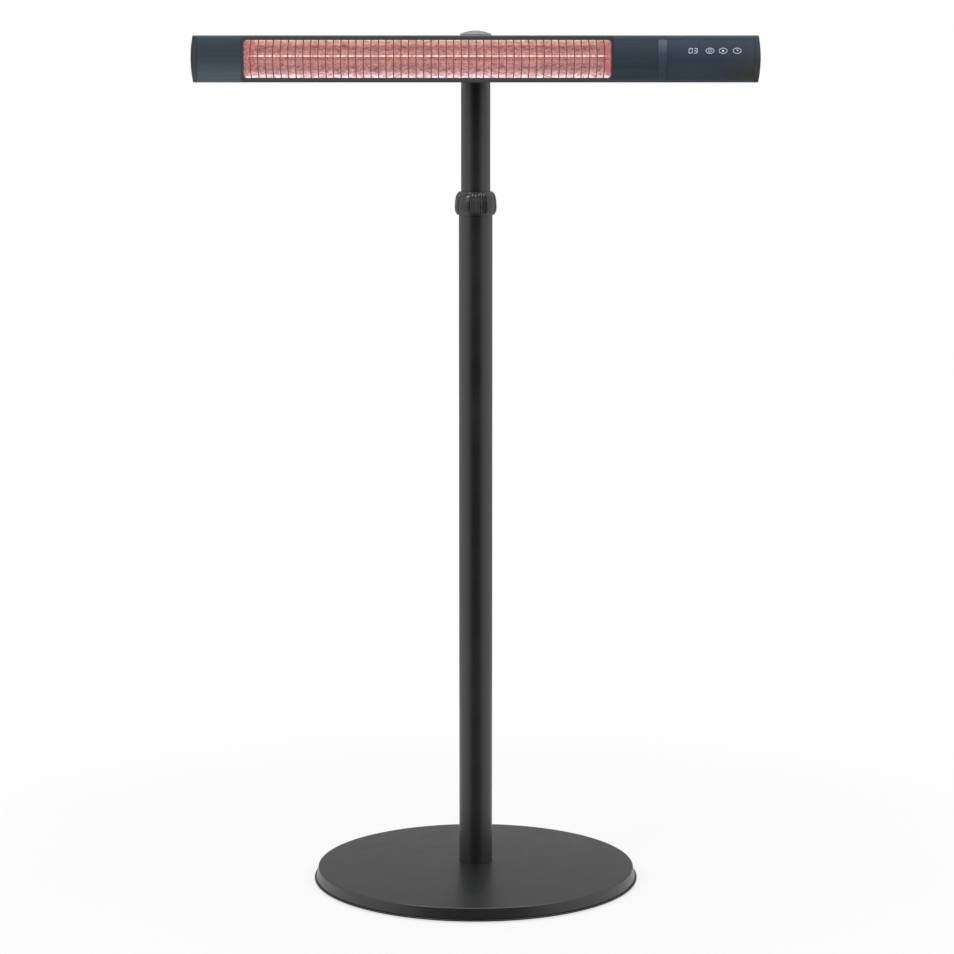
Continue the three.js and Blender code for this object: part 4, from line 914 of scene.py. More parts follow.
def add_floor():
    """A pale round floor that turns pure white to its edge, so that no horizon shows.

    In gloss it is dark where it lies in front of the heater, as the room is.
    """
    finish, tree, shader, place = begin("pale_studio_floor", Roughness=0.9)
    reach = add_node(tree, "VectorMath", {0: place}, operation="LENGTH").outputs["Value"]
    inputs = {"Value": reach, "From Min": 0.35 * FLOOR_R, "From Max": FLOOR_R}
    inputs |= {"To Min": FLOOR_WHITE, "To Max": 1.0}
    fade = add_node(tree, "MapRange", inputs, interpolation_type="SMOOTHSTEP").outputs["Result"]
    ray = add_node(tree, "LightPath").outputs
    heading = add_node(tree, "VectorMath", {0: place}, operation="NORMALIZE").outputs["Vector"]
    depth = add_node(tree, "SeparateXYZ", {"Vector": heading}).outputs["Y"]
    inputs = {0: ray["Is Glossy Ray"], 1: front_to_side(tree, depth)}
    gloss = add_node(tree, "Math", inputs, operation="MULTIPLY").outputs[0]
    inputs = {0: ray["Is Glossy Ray"], 1: gloss}
    unlit = add_node(tree, "Math", inputs, operation="SUBTRACT").outputs[0]
    inputs = {"Factor": unlit, COLOUR_A: linear("e6e6e6"), COLOUR_B: linear("4c4c4c")}
    paint = add_node(tree, "Mix", inputs, data_type="RGBA").outputs[COLOUR_OUT]
    tree.links.new(paint, shader.inputs["Base Color"])
    inputs = {0: ray["Is Camera Ray"], 1: gloss}
    direct = add_node(tree, "Math", inputs, operation="MAXIMUM").outputs[0]
    inputs = {0: direct, 1: ray["Is Transmission Ray"]}
    seen = add_node(tree, "Math", inputs, operation="MAXIMUM").outputs[0]
    share = add_node(tree, "Math", {0: seen, 1: fade}, operation="MULTIPLY").outputs[0]
    white = add_node(tree, "Emission", {"Color": (1, 1, 1, 1), "Strength": 1.0}).outputs[0]
    mix = add_node(tree, "MixShader", {0: share, 1: shader.outputs[0], 2: white})
    tree.links.new(mix.outputs[0], tree.nodes["Material Output"].inputs["Surface"])
    disc = turned([0, FLOOR_R, FLOOR_R, 0], [-FLOOR_T, -FLOOR_T, 0, 0], ORIGIN, "Z")
    mesh = mesh_of("studio_floor", [disc])
    mesh.materials.append(finish)
    floor = bpy.data.objects.new("studio_floor", mesh)
    bpy.context.scene.collection.objects.link(floor)


def add_studio():
    """The camera, the room, two soft boxes high in front, one above, and the floor."""
    bpy.context.scene.view_settings.view_transform = "Standard"
    add_camera()
    add_room()
    middle = (0, 0, 0.9)
    add_lamp("soft_box_left", (-2.2, -2.0, 2.9), middle, size=1.4, power=45)
    add_lamp("soft_box_right", (2.2, -2.0, 2.9), middle, size=1.4, power=38)
    add_lamp("soft_box_above", (0, 0.4, 3.4), (0, 0, 0), size=1.8, power=30)
    add_floor()


# ---- Base ----------------------------------------------------------------------------------

def add_base_cover():
    """Pressed cover: a shallow paraboloid that rolls over into a leaning skirt."""
    low, high = limits("base_cover")
    foot_r, foot_z = high[0], low[2]
    rim_r = foot_r - SKIRT_LEAN
    hole = high_half("lower_tube") + 2 * CLEAR
    dome_r = np.linspace(hole, rim_r - 3 * RIM_ROUND, 24)

    def dome(r):
        return RIM_HEIGHT + DOME_RISE * (1 - (r / rim_r) ** 2)

    outside = [(r, dome(r), 0) for r in dome_r]
    outside += [(rim_r, RIM_HEIGHT, RIM_ROUND), (foot_r, foot_z, 0.4 * MM)]
    inside = [(foot_r - COVER_WALL, foot_z, 0.4 * MM)]
    inside += [(rim_r - COVER_WALL, RIM_HEIGHT - COVER_WALL, RIM_ROUND - COVER_WALL)]
    inside += [(r, dome(r) - COVER_WALL, 0) for r in dome_r[::-1]]
    cover = turned_outline(outside + inside, ORIGIN, "Z", BASE_SIDES)
    stand_in("pressed_base_cover", "base_cover", [cover])


def add_base_plate():
    """Plate under the cover, whose rounded edge shows as a thin lip."""
    low, high = limits("base_plate")
    ends, rounds = (low[2], high[2]), (BROKEN_EDGE, PLATE_EDGE)
    plate = sleeve(PLATE_HOLE, high[0], ends, rounds, ORIGIN, "Z", BASE_SIDES)
    stand_in("base_plate_disc", "base_plate", [plate])


def add_foot_pads():
    """Stuck-on pads with a chamfered edge and a shallow dish underneath."""
    for node in nodes_named("foot_pad"):
        low, high = limits(node)
        middle = (low + high) / 2
        radius, top = high[0] - middle[0], high[2]
        corners = [
            (0, PAD_DISH, 0),
            (0.7 * radius, PAD_DISH, 0.1 * MM),
            (0.75 * radius, 0, 0.1 * MM),
            (0.92 * radius, 0, 0.2 * MM),
            (radius, 0.9 * MM, 0.2 * MM),
            (radius, top, 0.1 * MM),
            (0, top, 0),
        ]
        centre = np.array([middle[0], middle[1], 0])
        stand_in(f"rubber_{node}", node, [turned_outline(corners, centre, "Z", 48)])


# ---- Column --------------------------------------------------------------------------------

def add_column_tube(name, node, lip):
    """Drawn tube with softly broken ends."""
    low, high = limits(node)
    radius = high[0]
    bore = radius - TUBE_WALL
    corners = [
        (bore, low[2], BROKEN_EDGE),
        (radius, low[2], 0.4 * MM),
        (radius, high[2], lip),
        (bore, high[2], BROKEN_EDGE),
    ]
    stand_in(name, node, [turned_outline(corners, ORIGIN, "Z", TUBE_SIDES)])


def add_locking_collar():
    """Grip ring: a barrel with smooth lugs, and ribbed valleys that fade out at both ends.

    The outer radius is the barrel's, less a smooth valley whose floor carries cosine ribs, and
    less a groove in the middle of each lug.
    """
    low, high = limits("locking_collar")
    widest, height = high[0], high[2] - low[2]
    share = np.linspace(0, 1, 61)[:, None]
    turn = np.linspace(0, 2 * np.pi, 540, endpoint=False)
    pitch = 2 * np.pi / LUG_COUNT
    from_lug = np.abs((turn - LUG_FIRST + pitch / 2) % pitch - pitch / 2)
    valley = smooth((from_lug - LUG_HALF) / LUG_EDGE)
    rib = 0.5 + 0.5 * np.cos(2 * np.pi * (from_lug - pitch / 2) / RIB_PITCH)
    groove = smooth((GROOVE_HALF + GROOVE_EDGE - from_lug) / GROOVE_EDGE)
    fade = smooth(share / RIB_FADE_LOW) * smooth((1 - share) / RIB_FADE_HIGH)
    barrel = widest - smooth_line(share, BARREL_SHARE, BARREL_INSET)
    outer = barrel - fade * (valley * (VALLEY_DEPTH - RIB_HEIGHT * rib) + groove * GROOVE_DEPTH)
    bore = high_half("collar_ferrule") + CLEAR
    lip = high_half("upper_tube") + 2 * CLEAR
    step = high[2] - COLLAR_STEP
    inner_r = np.array([lip, lip, bore, bore])
    inner_z = np.array([high[2], step, step, low[2]])
    radius = np.vstack([outer, np.repeat(inner_r[:, None], len(turn), axis=1)])
    along = np.concatenate([low[2] + share[:, 0] * height, inner_z])
    ring = turned(radius, along, ORIGIN, "Z")
    stand_in("ribbed_locking_collar", "locking_collar", [ring], grip_nylon())


# ---- Tilt joint ----------------------------------------------------------------------------

HINGE = np.array(JOINT["head_tilt"]["pos_m"], float)
HINGE_LINE = HINGE * (0, 1, 1)


def add_pole_cap():
    """Lens-shaped cap with a rounded rim, and the spigot that holds it in the tube."""
    low, high = limits("pole_cap")
    radius, top = high[0], high[2]
    rim = top - CAP_RISE
    sphere = (radius**2 + CAP_RISE**2) / (2 * CAP_RISE)
    spigot = high_half("upper_tube") - TUBE_WALL - CLEAR
    seat = limits("upper_tube")[1][2] + CLEAR
    dome_r = np.linspace(0, radius - 2.5 * MM, 14)
    dome = [(r, top - sphere + math.sqrt(sphere**2 - r**2), 0) for r in dome_r]
    corners = dome + [
        (radius, rim, 1.2 * MM),
        (radius, seat, 0.4 * MM),
        (spigot, seat, 0.2 * MM),
        (spigot, low[2], 0.5 * MM),
        (spigot - CAP_WALL, low[2], 0.5 * MM),
        (spigot - CAP_WALL, rim - CAP_WALL, 1 * MM),
        (0, rim - CAP_WALL + 1 * MM, 0),
    ]
    stand_in("domed_pole_cap", "pole_cap", [turned_outline(corners, ORIGIN, "Z", TUBE_SIDES)])


def add_column_clamp():
    """Cast clamp: a ring round the tube, an arm that swells into it, and the hinge's knuckle."""
    low, high = limits("mast_bracket")
    bore = high_half("upper_tube") + CLEAR
    ends, rounds = (low[2], high[2]), (BROKEN_EDGE, 1.4 * MM)
    ring = sleeve(bore, high[1], ends, rounds, ORIGIN, "Z", TUBE_SIDES)
    half, rounds = high_half("friction_washer_right") - WASHER_T, (BROKEN_EDGE, 0.8 * MM)
    knuckle = sleeve(BOLT_HOLE, HINGE[1] - low[1], (-half, half), rounds, HINGE, "X")
    depth = np.linspace(HINGE[1] + BOLT_HOLE + 1 * MM, -(bore + 1 * MM), 16)
    swell = smooth((depth - HINGE[1] - 9 * MM) / (9 * MM))
    middle = HINGE[[0, 2]] * (0, 1)
    rings = []
    for y, s in zip(depth, swell):
        half = ARM_START + ARM_GROWTH * s
        rings.append(((middle - half, middle + half), 0, 3 * MM, y))
    stand_in("column_clamp", "mast_bracket", [ring, knuckle, skin(rectangles(rings))])


def add_friction_washers():
    """Turned washers on both sides of the knuckle."""
    for side in ("left", "right"):
        node = f"friction_washer_{side}"
        low, high = limits(node)
        ends, rounds = (low[0], high[0]), (0.2 * MM, BROKEN_EDGE)
        washer = sleeve(BOLT_HOLE, high[2] - HINGE[2], ends, rounds, HINGE_LINE, "X")
        stand_in(f"acetal_washer_{side}", node, [washer])


def ear(x0, x1, plate_y):
    """An ear of the yoke: straight sides that end in a half circle round the hinge."""
    inset, depth = rolled_edge(0.5 * MM, x1 - x0)
    turn = np.linspace(-np.pi / 2, np.pi / 2, 25)
    rings = []
    for i, d in zip(inset, depth):
        arc_y = HINGE[1] + (EAR_R - i) * np.cos(turn)
        arc_z = HINGE[2] + (EAR_R - i) * np.sin(turn)
        y = np.concatenate([[plate_y], arc_y, [plate_y]])
        z = np.concatenate([[HINGE[2] - EAR_R + i], arc_z, [HINGE[2] + EAR_R - i]])
        rings.append(placed(y, z, x0 + d, "X"))
    return skin(np.stack(rings))


def add_tilt_yoke():
    """Plate screwed to the head's back, with two ears that hold the hinge bolt."""
    low, high = limits("tilt_bracket")
    washer_x = high_half("friction_washer_right") + CLEAR
    plate_high = np.array([high[0], low[1] + YOKE_PLATE_T, high[2]])
    plate = slab(low, plate_high, "Y", 4 * MM, 0.6 * MM)
    ears = [
        ear(washer_x, washer_x + EAR_T, low[1] + 2 * MM),
        ear(-washer_x - EAR_T, -washer_x, low[1] + 2 * MM),
    ]
    stand_in("tilt_yoke", "tilt_bracket", [plate, *ears])


def profile(stations):
    """Stations of (radius round the turn, distance along the axis) as two arrays."""
    return np.stack([radius for radius, _ in stations]), np.array([at for _, at in stations])


def hexagon(turn, radius):
    """Radius of a hexagon in each direction: its apothem over the cosine from the nearest flat."""
    from_flat = (turn + np.pi / 6) % (np.pi / 3) - np.pi / 6
    return radius * math.cos(math.pi / 6) / np.cos(from_flat)


def add_hinge_bolt():
    """Hexagon bolt: the head's outer corners are cut back by a chamfer that leaves a circle."""
    low, high = limits("tilt_bolt")
    corner_r = (high[1] - low[1]) / 2 / math.cos(math.pi / 6)
    turn = np.linspace(0, 2 * np.pi, 96, endpoint=False)
    hexed = hexagon(turn, corner_r)
    head_end = low[0] + BOLT_HEAD_T
    ring = np.ones_like(turn)
    radius, along = profile([
        (0 * ring, low[0]),
        (0.84 * corner_r * ring, low[0]),
        (np.minimum(hexed, 0.88 * corner_r), low[0] + 0.2 * MM),
        (hexed, low[0] + 1.1 * MM),
        (hexed, head_end),
        (BOLT_SHANK * ring, head_end),
        (BOLT_SHANK * ring, high[0] - 0.6 * MM),
        ((BOLT_SHANK - 0.6 * MM) * ring, high[0]),
        (0 * ring, high[0]),
    ])
    stand_in("hinge_bolt", "tilt_bolt", [turned(radius, along, HINGE_LINE, "X")])


def add_tilt_knob():
    """Hand knob: a smooth hub, and a grip whose radius dips as a cosine between its lobes."""
    low, high = limits("tilt_knob")
    grip_r = (high[2] - low[2]) / 2
    grip_x = low[0] + HUB_T
    corners = [
        (0, grip_x + 10.5 * MM, 0),
        (BOLT_HOLE, grip_x + 10.5 * MM, 0.2 * MM),
        (BOLT_HOLE, low[0], BROKEN_EDGE),
        (HUB_R, low[0], 0.5 * MM),
        (HUB_R, grip_x, 0.8 * MM),
        (grip_r, grip_x, 1.4 * MM),
        (grip_r, high[0], 2.2 * MM),
        (0.66 * grip_r, high[0], 0.6 * MM),
        (0.6 * grip_r, high[0] - 0.8 * MM, 0.3 * MM),
        (0, high[0] - 0.8 * MM, 0),
    ]
    radius, along = filleted(corners).T
    turn = np.linspace(0, 2 * np.pi, 160, endpoint=False)
    dip = LOBE_DIP * (0.5 - 0.5 * np.cos(LOBES * turn))
    plain = HUB_R + 0.5 * MM
    weight = smooth((radius - plain) / (grip_r - plain))
    shaped = radius[:, None] - weight[:, None] * dip
    stand_in("lobed_tilt_knob", "tilt_knob", [turned(shaped, along, HINGE_LINE, "X")])


def pan_screw(head_t, head_r, shank_r, length):
    """Profile of a pan-head screw: its radius by station and turn, and distance from the seat.

    The cross recess is a plus sign in polar form that narrows as it deepens.
    """
    turn = np.linspace(0, 2 * np.pi, 96, endpoint=False)
    cos, sin = np.abs(np.cos(turn)) + 1e-9, np.abs(np.sin(turn)) + 1e-9
    arm, half = 0.55 * head_r, 0.16 * head_r
    cross = np.maximum(np.minimum(arm / cos, half / sin), np.minimum(arm / sin, half / cos))
    ring = np.ones_like(turn)
    bulge = np.linspace(0.25, 1, 6) * np.pi / 2
    dome = [(head_r * (0.62 + 0.38 * math.cos(b)), head_t * math.sin(b)) for b in bulge]
    return profile([
        (0 * ring, -length),
        (0.6 * shank_r * ring, -length),
        (shank_r * ring, -length + shank_r),
        (shank_r * ring, 0),
        (head_r * ring, 0),
        *((r * ring, z) for r, z in dome),
        (cross, head_t),
        (0.7 * cross, 0.45 * head_t),
        (0 * ring, 0.45 * head_t),
    ])


def add_yoke_screws():
    """Four pan-head screws through the yoke's plate."""
    for node in nodes_named("bracket_screw"):
        low, high = limits(node)
        middle = (low + high) / 2
        seat = high[1] - YOKE_SCREW_HEAD_T
        head_r = high[0] - middle[0]
        radius, along = pan_screw(YOKE_SCREW_HEAD_T, head_r, YOKE_SCREW_R, seat - low[1])
        centre = np.array([middle[0], seat, middle[2]])
        stand_in(node.replace("bracket", "yoke"), node, [turned(radius, along, centre, "Y")])


# ---- Head housing --------------------------------------------------------------------------

HEAD_LOW, HEAD_HIGH = limits("head_shell")
HEAD_Z = (HEAD_LOW[2] + HEAD_HIGH[2]) / 2


def head_outline(inset):
    """The head's section in (y, z): tight corners in front and wide ones behind."""
    low = HEAD_LOW[1:] + inset
    high = HEAD_HIGH[1:] - inset
    front = max(HEAD_FRONT_ROUND - inset, 0.1 * MM)
    back = max(HEAD_BACK_ROUND - inset, 0.1 * MM)
    corners = [
        (low[0], low[1], front),
        (high[0], low[1], back),
        (high[0], high[1], back),
        (low[0], high[1], front),
    ]
    return divided(filleted(corners, 8), 6)


def add_head_housing():
    """Extruded channel: an open front between two rails, ribs behind them, two screw bosses."""
    front, back = HEAD_LOW[1], HEAD_HIGH[1]
    foot, crown = HEAD_LOW[2], HEAD_HIGH[2]
    rail, sill = crown - RAIL_HEIGHT, foot + LOW_RAIL_HEIGHT
    inside, rear = front + HEAD_WALL, back - HEAD_WALL
    floor, roof = foot + HEAD_WALL, crown - HEAD_WALL
    rib = limits("blank_panel_left")[1][1] + PANEL_SEAT
    rib_back = rib + GROOVE_RIB_T
    lip, nick, bend = 0.6 * MM, 0.2 * MM, HEAD_BACK_ROUND - HEAD_WALL
    outline = filleted([
        (front, sill, lip),
        (front, foot, HEAD_FRONT_ROUND),
        (back, foot, HEAD_BACK_ROUND),
        (back, crown, HEAD_BACK_ROUND),
        (front, crown, HEAD_FRONT_ROUND),
        (front, rail, lip),
        (inside, rail, lip),
        (inside, roof, nick),
        (rib, roof, nick),
        (rib, roof - GROOVE_RIB_H, nick),
        (rib_back, roof - GROOVE_RIB_H, nick),
        (rib_back, roof, nick),
        (rear, roof, bend),
        (rear, floor, bend),
        (rib_back, floor, nick),
        (rib_back, floor + GROOVE_RIB_H, nick),
        (rib, floor + GROOVE_RIB_H, nick),
        (rib, floor, nick),
        (inside, floor, nick),
        (inside, sill, lip),
    ], 8)
    ends = HEAD_LOW[0], HEAD_HIGH[0]
    parts = [prism(outline, *ends, "X")]
    for screw in ("end_cap_screw_1", "end_cap_screw_2"):
        middle = np.mean(limits(screw), axis=0) * (0, 1, 1)
        parts.append(sleeve(BOSS_HOLE, BOSS_R, ends, (nick, nick), middle, "X", 48))
    stand_in("extruded_head_housing", "head_shell", parts)


def bored(name, part, bores):
    """The mesh of a surface with round bores cut out of it, each (centre, radius) along X."""
    body = bpy.data.objects.new(name + "_blank", mesh_of(name + "_blank", [part]))
    drills = [rod(radius, -DRILL_HALF, DRILL_HALF, 0, centre, 32) for centre, radius in bores]
    drill = bpy.data.objects.new(name + "_drill", mesh_of(name + "_drill", drills))
    for blank in (body, drill):
        bpy.context.scene.collection.objects.link(blank)
    cut = body.modifiers.new("Bores", "BOOLEAN")
    cut.operation, cut.solver, cut.object = "DIFFERENCE", "EXACT", drill
    bpy.context.view_layer.update()
    result = bpy.data.meshes.new_from_object(
        body.evaluated_get(bpy.context.evaluated_depsgraph_get())
    )
    for blank in (body, drill):
        bpy.data.objects.remove(blank)
    return result


def end_cap(side, seam, tip):
    """A cap whose outer face bulges with the square of the height and rolls over at its edge."""
    half = (HEAD_HIGH[2] - HEAD_LOW[2]) / 2
    middle = np.array([(HEAD_LOW[1] + HEAD_HIGH[1]) / 2, HEAD_Z])
    turn = np.linspace(0, np.pi / 2, 6)
    outlines = [head_outline(END_ROUND * (1 - math.cos(t))) for t in turn]
    outlines += [middle + s * (outlines[-1] - middle) for s in (0.96, 0.85, 0.7, 0.5, 0.25)]
    rolled = np.append(END_ROUND * (1 - np.sin(turn)), np.zeros(5))
    rings = [placed(*head_outline(0).T, seam, "X")]
    for outline, back in zip(outlines, rolled):
        bulge = END_BULGE * ((outline[:, 1] - HEAD_Z) / half) ** 2
        rings.append(placed(*outline.T, tip - side * (bulge + back), "X"))
    return skin(np.stack(rings), hubs=(np.array([seam, *middle]), np.array([tip, *middle])))


def add_end_caps():
    """Moulded caps with a counterbore for each of their two screws, and the screws."""
    coats = {"left": left_cap_coat(), "right": right_cap_coat()}
    for word, side in (("left", -1), ("right", 1)):
        node = f"end_cap_{word}"
        low, high = limits(node)
        seam, tip = (high[0], low[0]) if side < 0 else (low[0], high[0])
        own = [n for n in nodes_named("end_cap_screw") if limits(n)[0][0] * side > 0]
        bores = []
        for screw in own:
            s_low, s_high = limits(screw)
            middle = (s_low + s_high) / 2
            head_r = s_high[2] - middle[2]
            outer_end = s_low[0] if side < 0 else s_high[0]
            seat = np.array([outer_end - side * CAP_SCREW_HEAD_T, *middle[1:]])
            bores.append((seat + (side * (DRILL_HALF - CLEAR), 0, 0), head_r + CLEAR))
            radius, along = pan_screw(CAP_SCREW_HEAD_T, head_r, CAP_SCREW_R, CAP_SCREW_L)
            screw_shape = turned(radius, side * along, seat, "X")
            stand_in(screw.replace("cap_", ""), screw, [screw_shape])
        part = end_cap(side, seam, tip)
        cap = stand_in(f"rounded_end_cap_{word}", node, [part])
        drilled = bored(cap.name, part, bores)
        drilled.materials.clear()
        drilled.materials.append(coats[word])
        cap.data = drilled


FRONT_FACE = HEAD_LOW[1] + FLUSH
SILL = HEAD_LOW[2] + LOW_RAIL_HEIGHT + FIELD_GAP
RAIL = HEAD_HIGH[2] - RAIL_HEIGHT - FIELD_GAP


def front_plate(low, high):
    """A plate held behind the rails, with a field in front that stands up flush between them."""
    plate, field = (low[[0, 2]], high[[0, 2]]), ((low[0], SILL), (high[0], RAIL))
    inset, depth = rolled_edge(PANEL_EDGE, high[1] - low[1])
    edge = list(zip(inset, depth))
    half = len(edge) // 2
    stations = [(field, i, PANEL_CORNER, FRONT_FACE + d) for i, d in edge[:half]]
    stations += [(field, 0, PANEL_CORNER, low[1]), (plate, 0, PANEL_CORNER, low[1])]
    stations += [(plate, i, PANEL_CORNER, low[1] + d) for i, d in edge[half:]]
    return skin(rectangles(stations))


def add_front_panels():
    """Blank fronts, receiver strip and touch glass, side by side."""
    for name, node, finish in (
        ("blank_front_left", "blank_panel_left", left_panel_coat()),
        ("blank_front_right", "blank_panel_right", right_panel_coat()),
        ("smoked_window_strip", "receiver_window", None),
        ("touch_glass", "control_glass", None),
    ):
        stand_in(name, node, [front_plate(*limits(node))], finish)


def add_window_surround():
    """Frame round the window, flush between the rails, with a round-cornered opening."""
    (x0, front, z0), (x1, back, z1) = limits("window_frame")
    reach = (HEAD_HIGH[2] - HEAD_LOW[2]) / 2 - RAIL_HEIGHT - FRAME_SHOW
    opening = (x0 + FRAME_BAR, HEAD_Z - reach), (x1 - FRAME_BAR, HEAD_Z + reach)
    outside, field = ((x0, z0), (x1, z1)), ((x0, SILL), (x1, RAIL))
    roll, corner = 0.8 * MM, 0.5 * MM
    stations = [(field, 0, corner, FRONT_FACE)]
    for t in np.linspace(0, np.pi / 2, 5):
        inset, depth = -roll * (1 - math.sin(t)), roll * (1 - math.cos(t))
        stations.append((opening, inset, WINDOW_ROUND, FRONT_FACE + depth))
    stations += [(opening, 0, WINDOW_ROUND, back), (outside, 0, corner, back)]
    stations += [(outside, 0, corner, front), (field, 0, corner, front)]
    ring = skin(rectangles(stations), wrapped=True)
    stand_in("window_surround", "window_frame", [ring], surround_coat())


# ---- Display and touch marks ---------------------------------------------------------------

SEGMENTS_OF = {
    "0": "abcdef", "1": "bc", "2": "abdeg", "3": "abcdg", "4": "bcfg",
    "5": "acdfg", "6": "acdefg", "7": "abc", "8": "abcdefg", "9": "abcdfg",
}
# Middle of each segment in half widths and half heights, and whether it stands upright
SEGMENT_PLACE = {
    "a": (0, 1, False), "b": (1, 0.5, True), "c": (1, -0.5, True), "d": (0, -1, False),
    "e": (-1, -0.5, True), "f": (-1, 0.5, True), "g": (0, 0, False),
}


def printed(outline):
    """A thin flat print just in front of the glass."""
    return prism(outline, FRONT_FACE - 2 * PRINT_T, FRONT_FACE - PRINT_T, "Y")


def segment(middle, length, upright):
    """A bar with pointed ends, slanted with the digit: x moves with z."""
    half, point = length / 2, DIGIT_STROKE / 2
    bar = np.array([
        (half, 0), (half - point, point), (point - half, point),
        (-half, 0), (point - half, -point), (half - point, -point),
    ])
    return (bar[:, ::-1] if upright else bar) + middle


def add_display_number():
    """Seven-segment numbers behind the glass."""
    centre = np.array([np.mean(limits("display_module"), axis=0)[0], HEAD_Z + MARK_RISE])
    step = DIGIT_WIDTH + DIGIT_GAP
    half_w, half_h = DIGIT_WIDTH / 2, (DIGIT_HEIGHT - DIGIT_STROKE) / 2
    parts = []
    for place, digit in enumerate(DISPLAY_NUMBER):
        shift = (place - (len(DISPLAY_NUMBER) - 1) / 2) * step
        for name in SEGMENTS_OF[digit]:
            u, v, upright = SEGMENT_PLACE[name]
            middle = np.array([u * half_w, v * half_h])
            length = (half_h if upright else DIGIT_WIDTH) * 0.96
            bar = segment(middle, length, upright)
            bar[:, 0] += bar[:, 1] * math.tan(DIGIT_SLANT) + shift
            parts.append(printed(bar + centre))
    piece("display_number", parts, MARK_FINISH, "head")


def oval(middle, half_w, half_h, stroke):
    """A flat oval ring: an outer and an inner ellipse, in front and behind."""
    turn = np.linspace(0, 2 * np.pi, 64, endpoint=False)
    rings = []
    for inset, layer in ((0, 2), (stroke, 2), (stroke, 1), (0, 1)):
        x = middle[0] + (half_w - inset) * np.cos(turn)
        z = middle[1] + (half_h - inset) * np.sin(turn)
        rings.append(placed(x, z, FRONT_FACE - layer * PRINT_T, "Y"))
    return skin(np.stack(rings), wrapped=True)


def dot(middle, half_w, half_h):
    """A flat filled oval."""
    turn = np.linspace(0, 2 * np.pi, 32, endpoint=False)
    return printed(np.stack([half_w * np.cos(turn), half_h * np.sin(turn)], axis=-1) + middle)


def add_touch_marks():
    """Three oval touch marks: an inner ring, a dot, and two clock hands."""
    left = limits("control_glass")[0][0]
    middles = [np.array([left + x, HEAD_Z + MARK_RISE]) for x in MARK_AT]
    parts = [oval(m, MARK_HALF_W, MARK_HALF_H, MARK_STROKE) for m in middles]
    parts.append(oval(middles[0], 0.5 * MARK_HALF_W, 0.5 * MARK_HALF_H, 0.8 * MARK_STROKE))
    parts.append(dot(middles[1], 1.7 * MM, 1.2 * MM))
    hand = np.array([(-0.4, -0.3), (0.4, -0.3), (0.4, 2.6), (-0.4, 2.6)]) * MM
    parts += [printed(hand + middles[2]), printed(hand[:, ::-1] + middles[2])]
    piece("touch_marks", parts, MARK_FINISH, "head")


# ---- Emitter -------------------------------------------------------------------------------

TROUGH_LOW, TROUGH_HIGH = limits("reflector")
TROUGH_HALF = (TROUGH_HIGH[2] - TROUGH_LOW[2]) / 2 - TROUGH_FLANGE
TROUGH_FRONT = TROUGH_LOW[1] + TROUGH_SHEET
TROUGH_APEX = TROUGH_HIGH[1] - TROUGH_SHEET


def trough_line(steps):
    """Points of the trough's inner face in (y, z), closer together towards its edges.

    It is deepest in the middle, and comes forward by a power of the height.
    """
    share = -np.cos(np.linspace(0, np.pi, steps + 1))
    depth = (TROUGH_APEX - TROUGH_FRONT) * (1 - np.abs(share) ** TROUGH_POWER)
    return np.stack([TROUGH_FRONT + depth, HEAD_Z + TROUGH_HALF * share], axis=-1)


def add_reflector():
    """Trough of one sheet with a flange along each edge, carried along X."""
    inside = trough_line(72)
    slope = np.gradient(inside, axis=0)
    slope /= np.linalg.norm(slope, axis=1)[:, None]
    behind = inside[1:-1] + TROUGH_SHEET * np.stack([slope[1:-1, 1], -slope[1:-1, 0]], axis=-1)
    low, high = TROUGH_LOW, TROUGH_HIGH
    lip = low[1]
    outline = np.vstack([
        (lip, low[2]),
        (lip, inside[0, 1]),
        inside[1:-1],
        (lip, inside[-1, 1]),
        (lip, high[2]),
        (TROUGH_FRONT, high[2]),
        (TROUGH_FRONT, inside[-1, 1] + 0.6 * TROUGH_SHEET),
        behind[::-1],
        (TROUGH_FRONT, inside[0, 1] - 0.6 * TROUGH_SHEET),
        (TROUGH_FRONT, low[2]),
    ])
    stand_in("polished_trough", "reflector", [prism(outline, low[0], high[0], "X")])


def trough_end(side, low, high):
    """A sheet between the trough's section and the lamp's hole, leaning inwards to the back."""
    lamp_low, lamp_high = limits("quartz_tube")
    axis = (lamp_low[1:] + lamp_high[1:]) / 2
    hole = (lamp_high[2] - lamp_low[2]) / 2 + 2 * CLEAR
    line = trough_line(56)
    line = np.vstack([line, np.linspace(line[-1], line[0], 26)[1:-1]]) - (2 * CLEAR, 0)
    line[:, 1] = HEAD_Z + 0.975 * (line[:, 1] - HEAD_Z)
    from_axis = line - axis
    turn = np.arctan2(from_axis[:, 1], from_axis[:, 0])
    rim = axis + hole * np.stack([np.cos(turn), np.sin(turn)], axis=-1)
    share = np.linspace(0, 1, 7)[:, None, None]
    y, z = np.moveaxis(line * (1 - share) + rim * share, -1, 0)
    front_x = low[0] if side < 0 else high[0]
    run = (high[0] - low[0] - END_SHEET) / (line[:, 0].max() - line[:, 0].min())
    face = placed(y, z, front_x - side * (y - line[:, 0].min()) * run, "X")
    return skin(np.vstack([face, face[::-1] - (side * END_SHEET, 0, 0)]), wrapped=True)


def add_trough_ends():
    """Plates that close the trough, each with a hole for the lamp."""
    finish = rosy_end_sheet()
    for word, side in (("left", -1), ("right", 1)):
        node = f"reflector_end_{word}"
        stand_in(f"trough_end_{word}", node, [trough_end(side, *limits(node))], finish)


def add_quartz_tube():
    """Thin-walled tube with fire-rounded ends."""
    low, high = limits("quartz_tube")
    middle = (low + high) / 2
    radius = high[2] - middle[2]
    ends, edge = (low[0], high[0]), 0.45 * MM
    centre = middle * (0, 1, 1)
    tube = sleeve(radius - QUARTZ_WALL, radius, ends, (edge, edge), centre, "X", 64)
    stand_in("quartz_envelope", "quartz_tube", [tube])


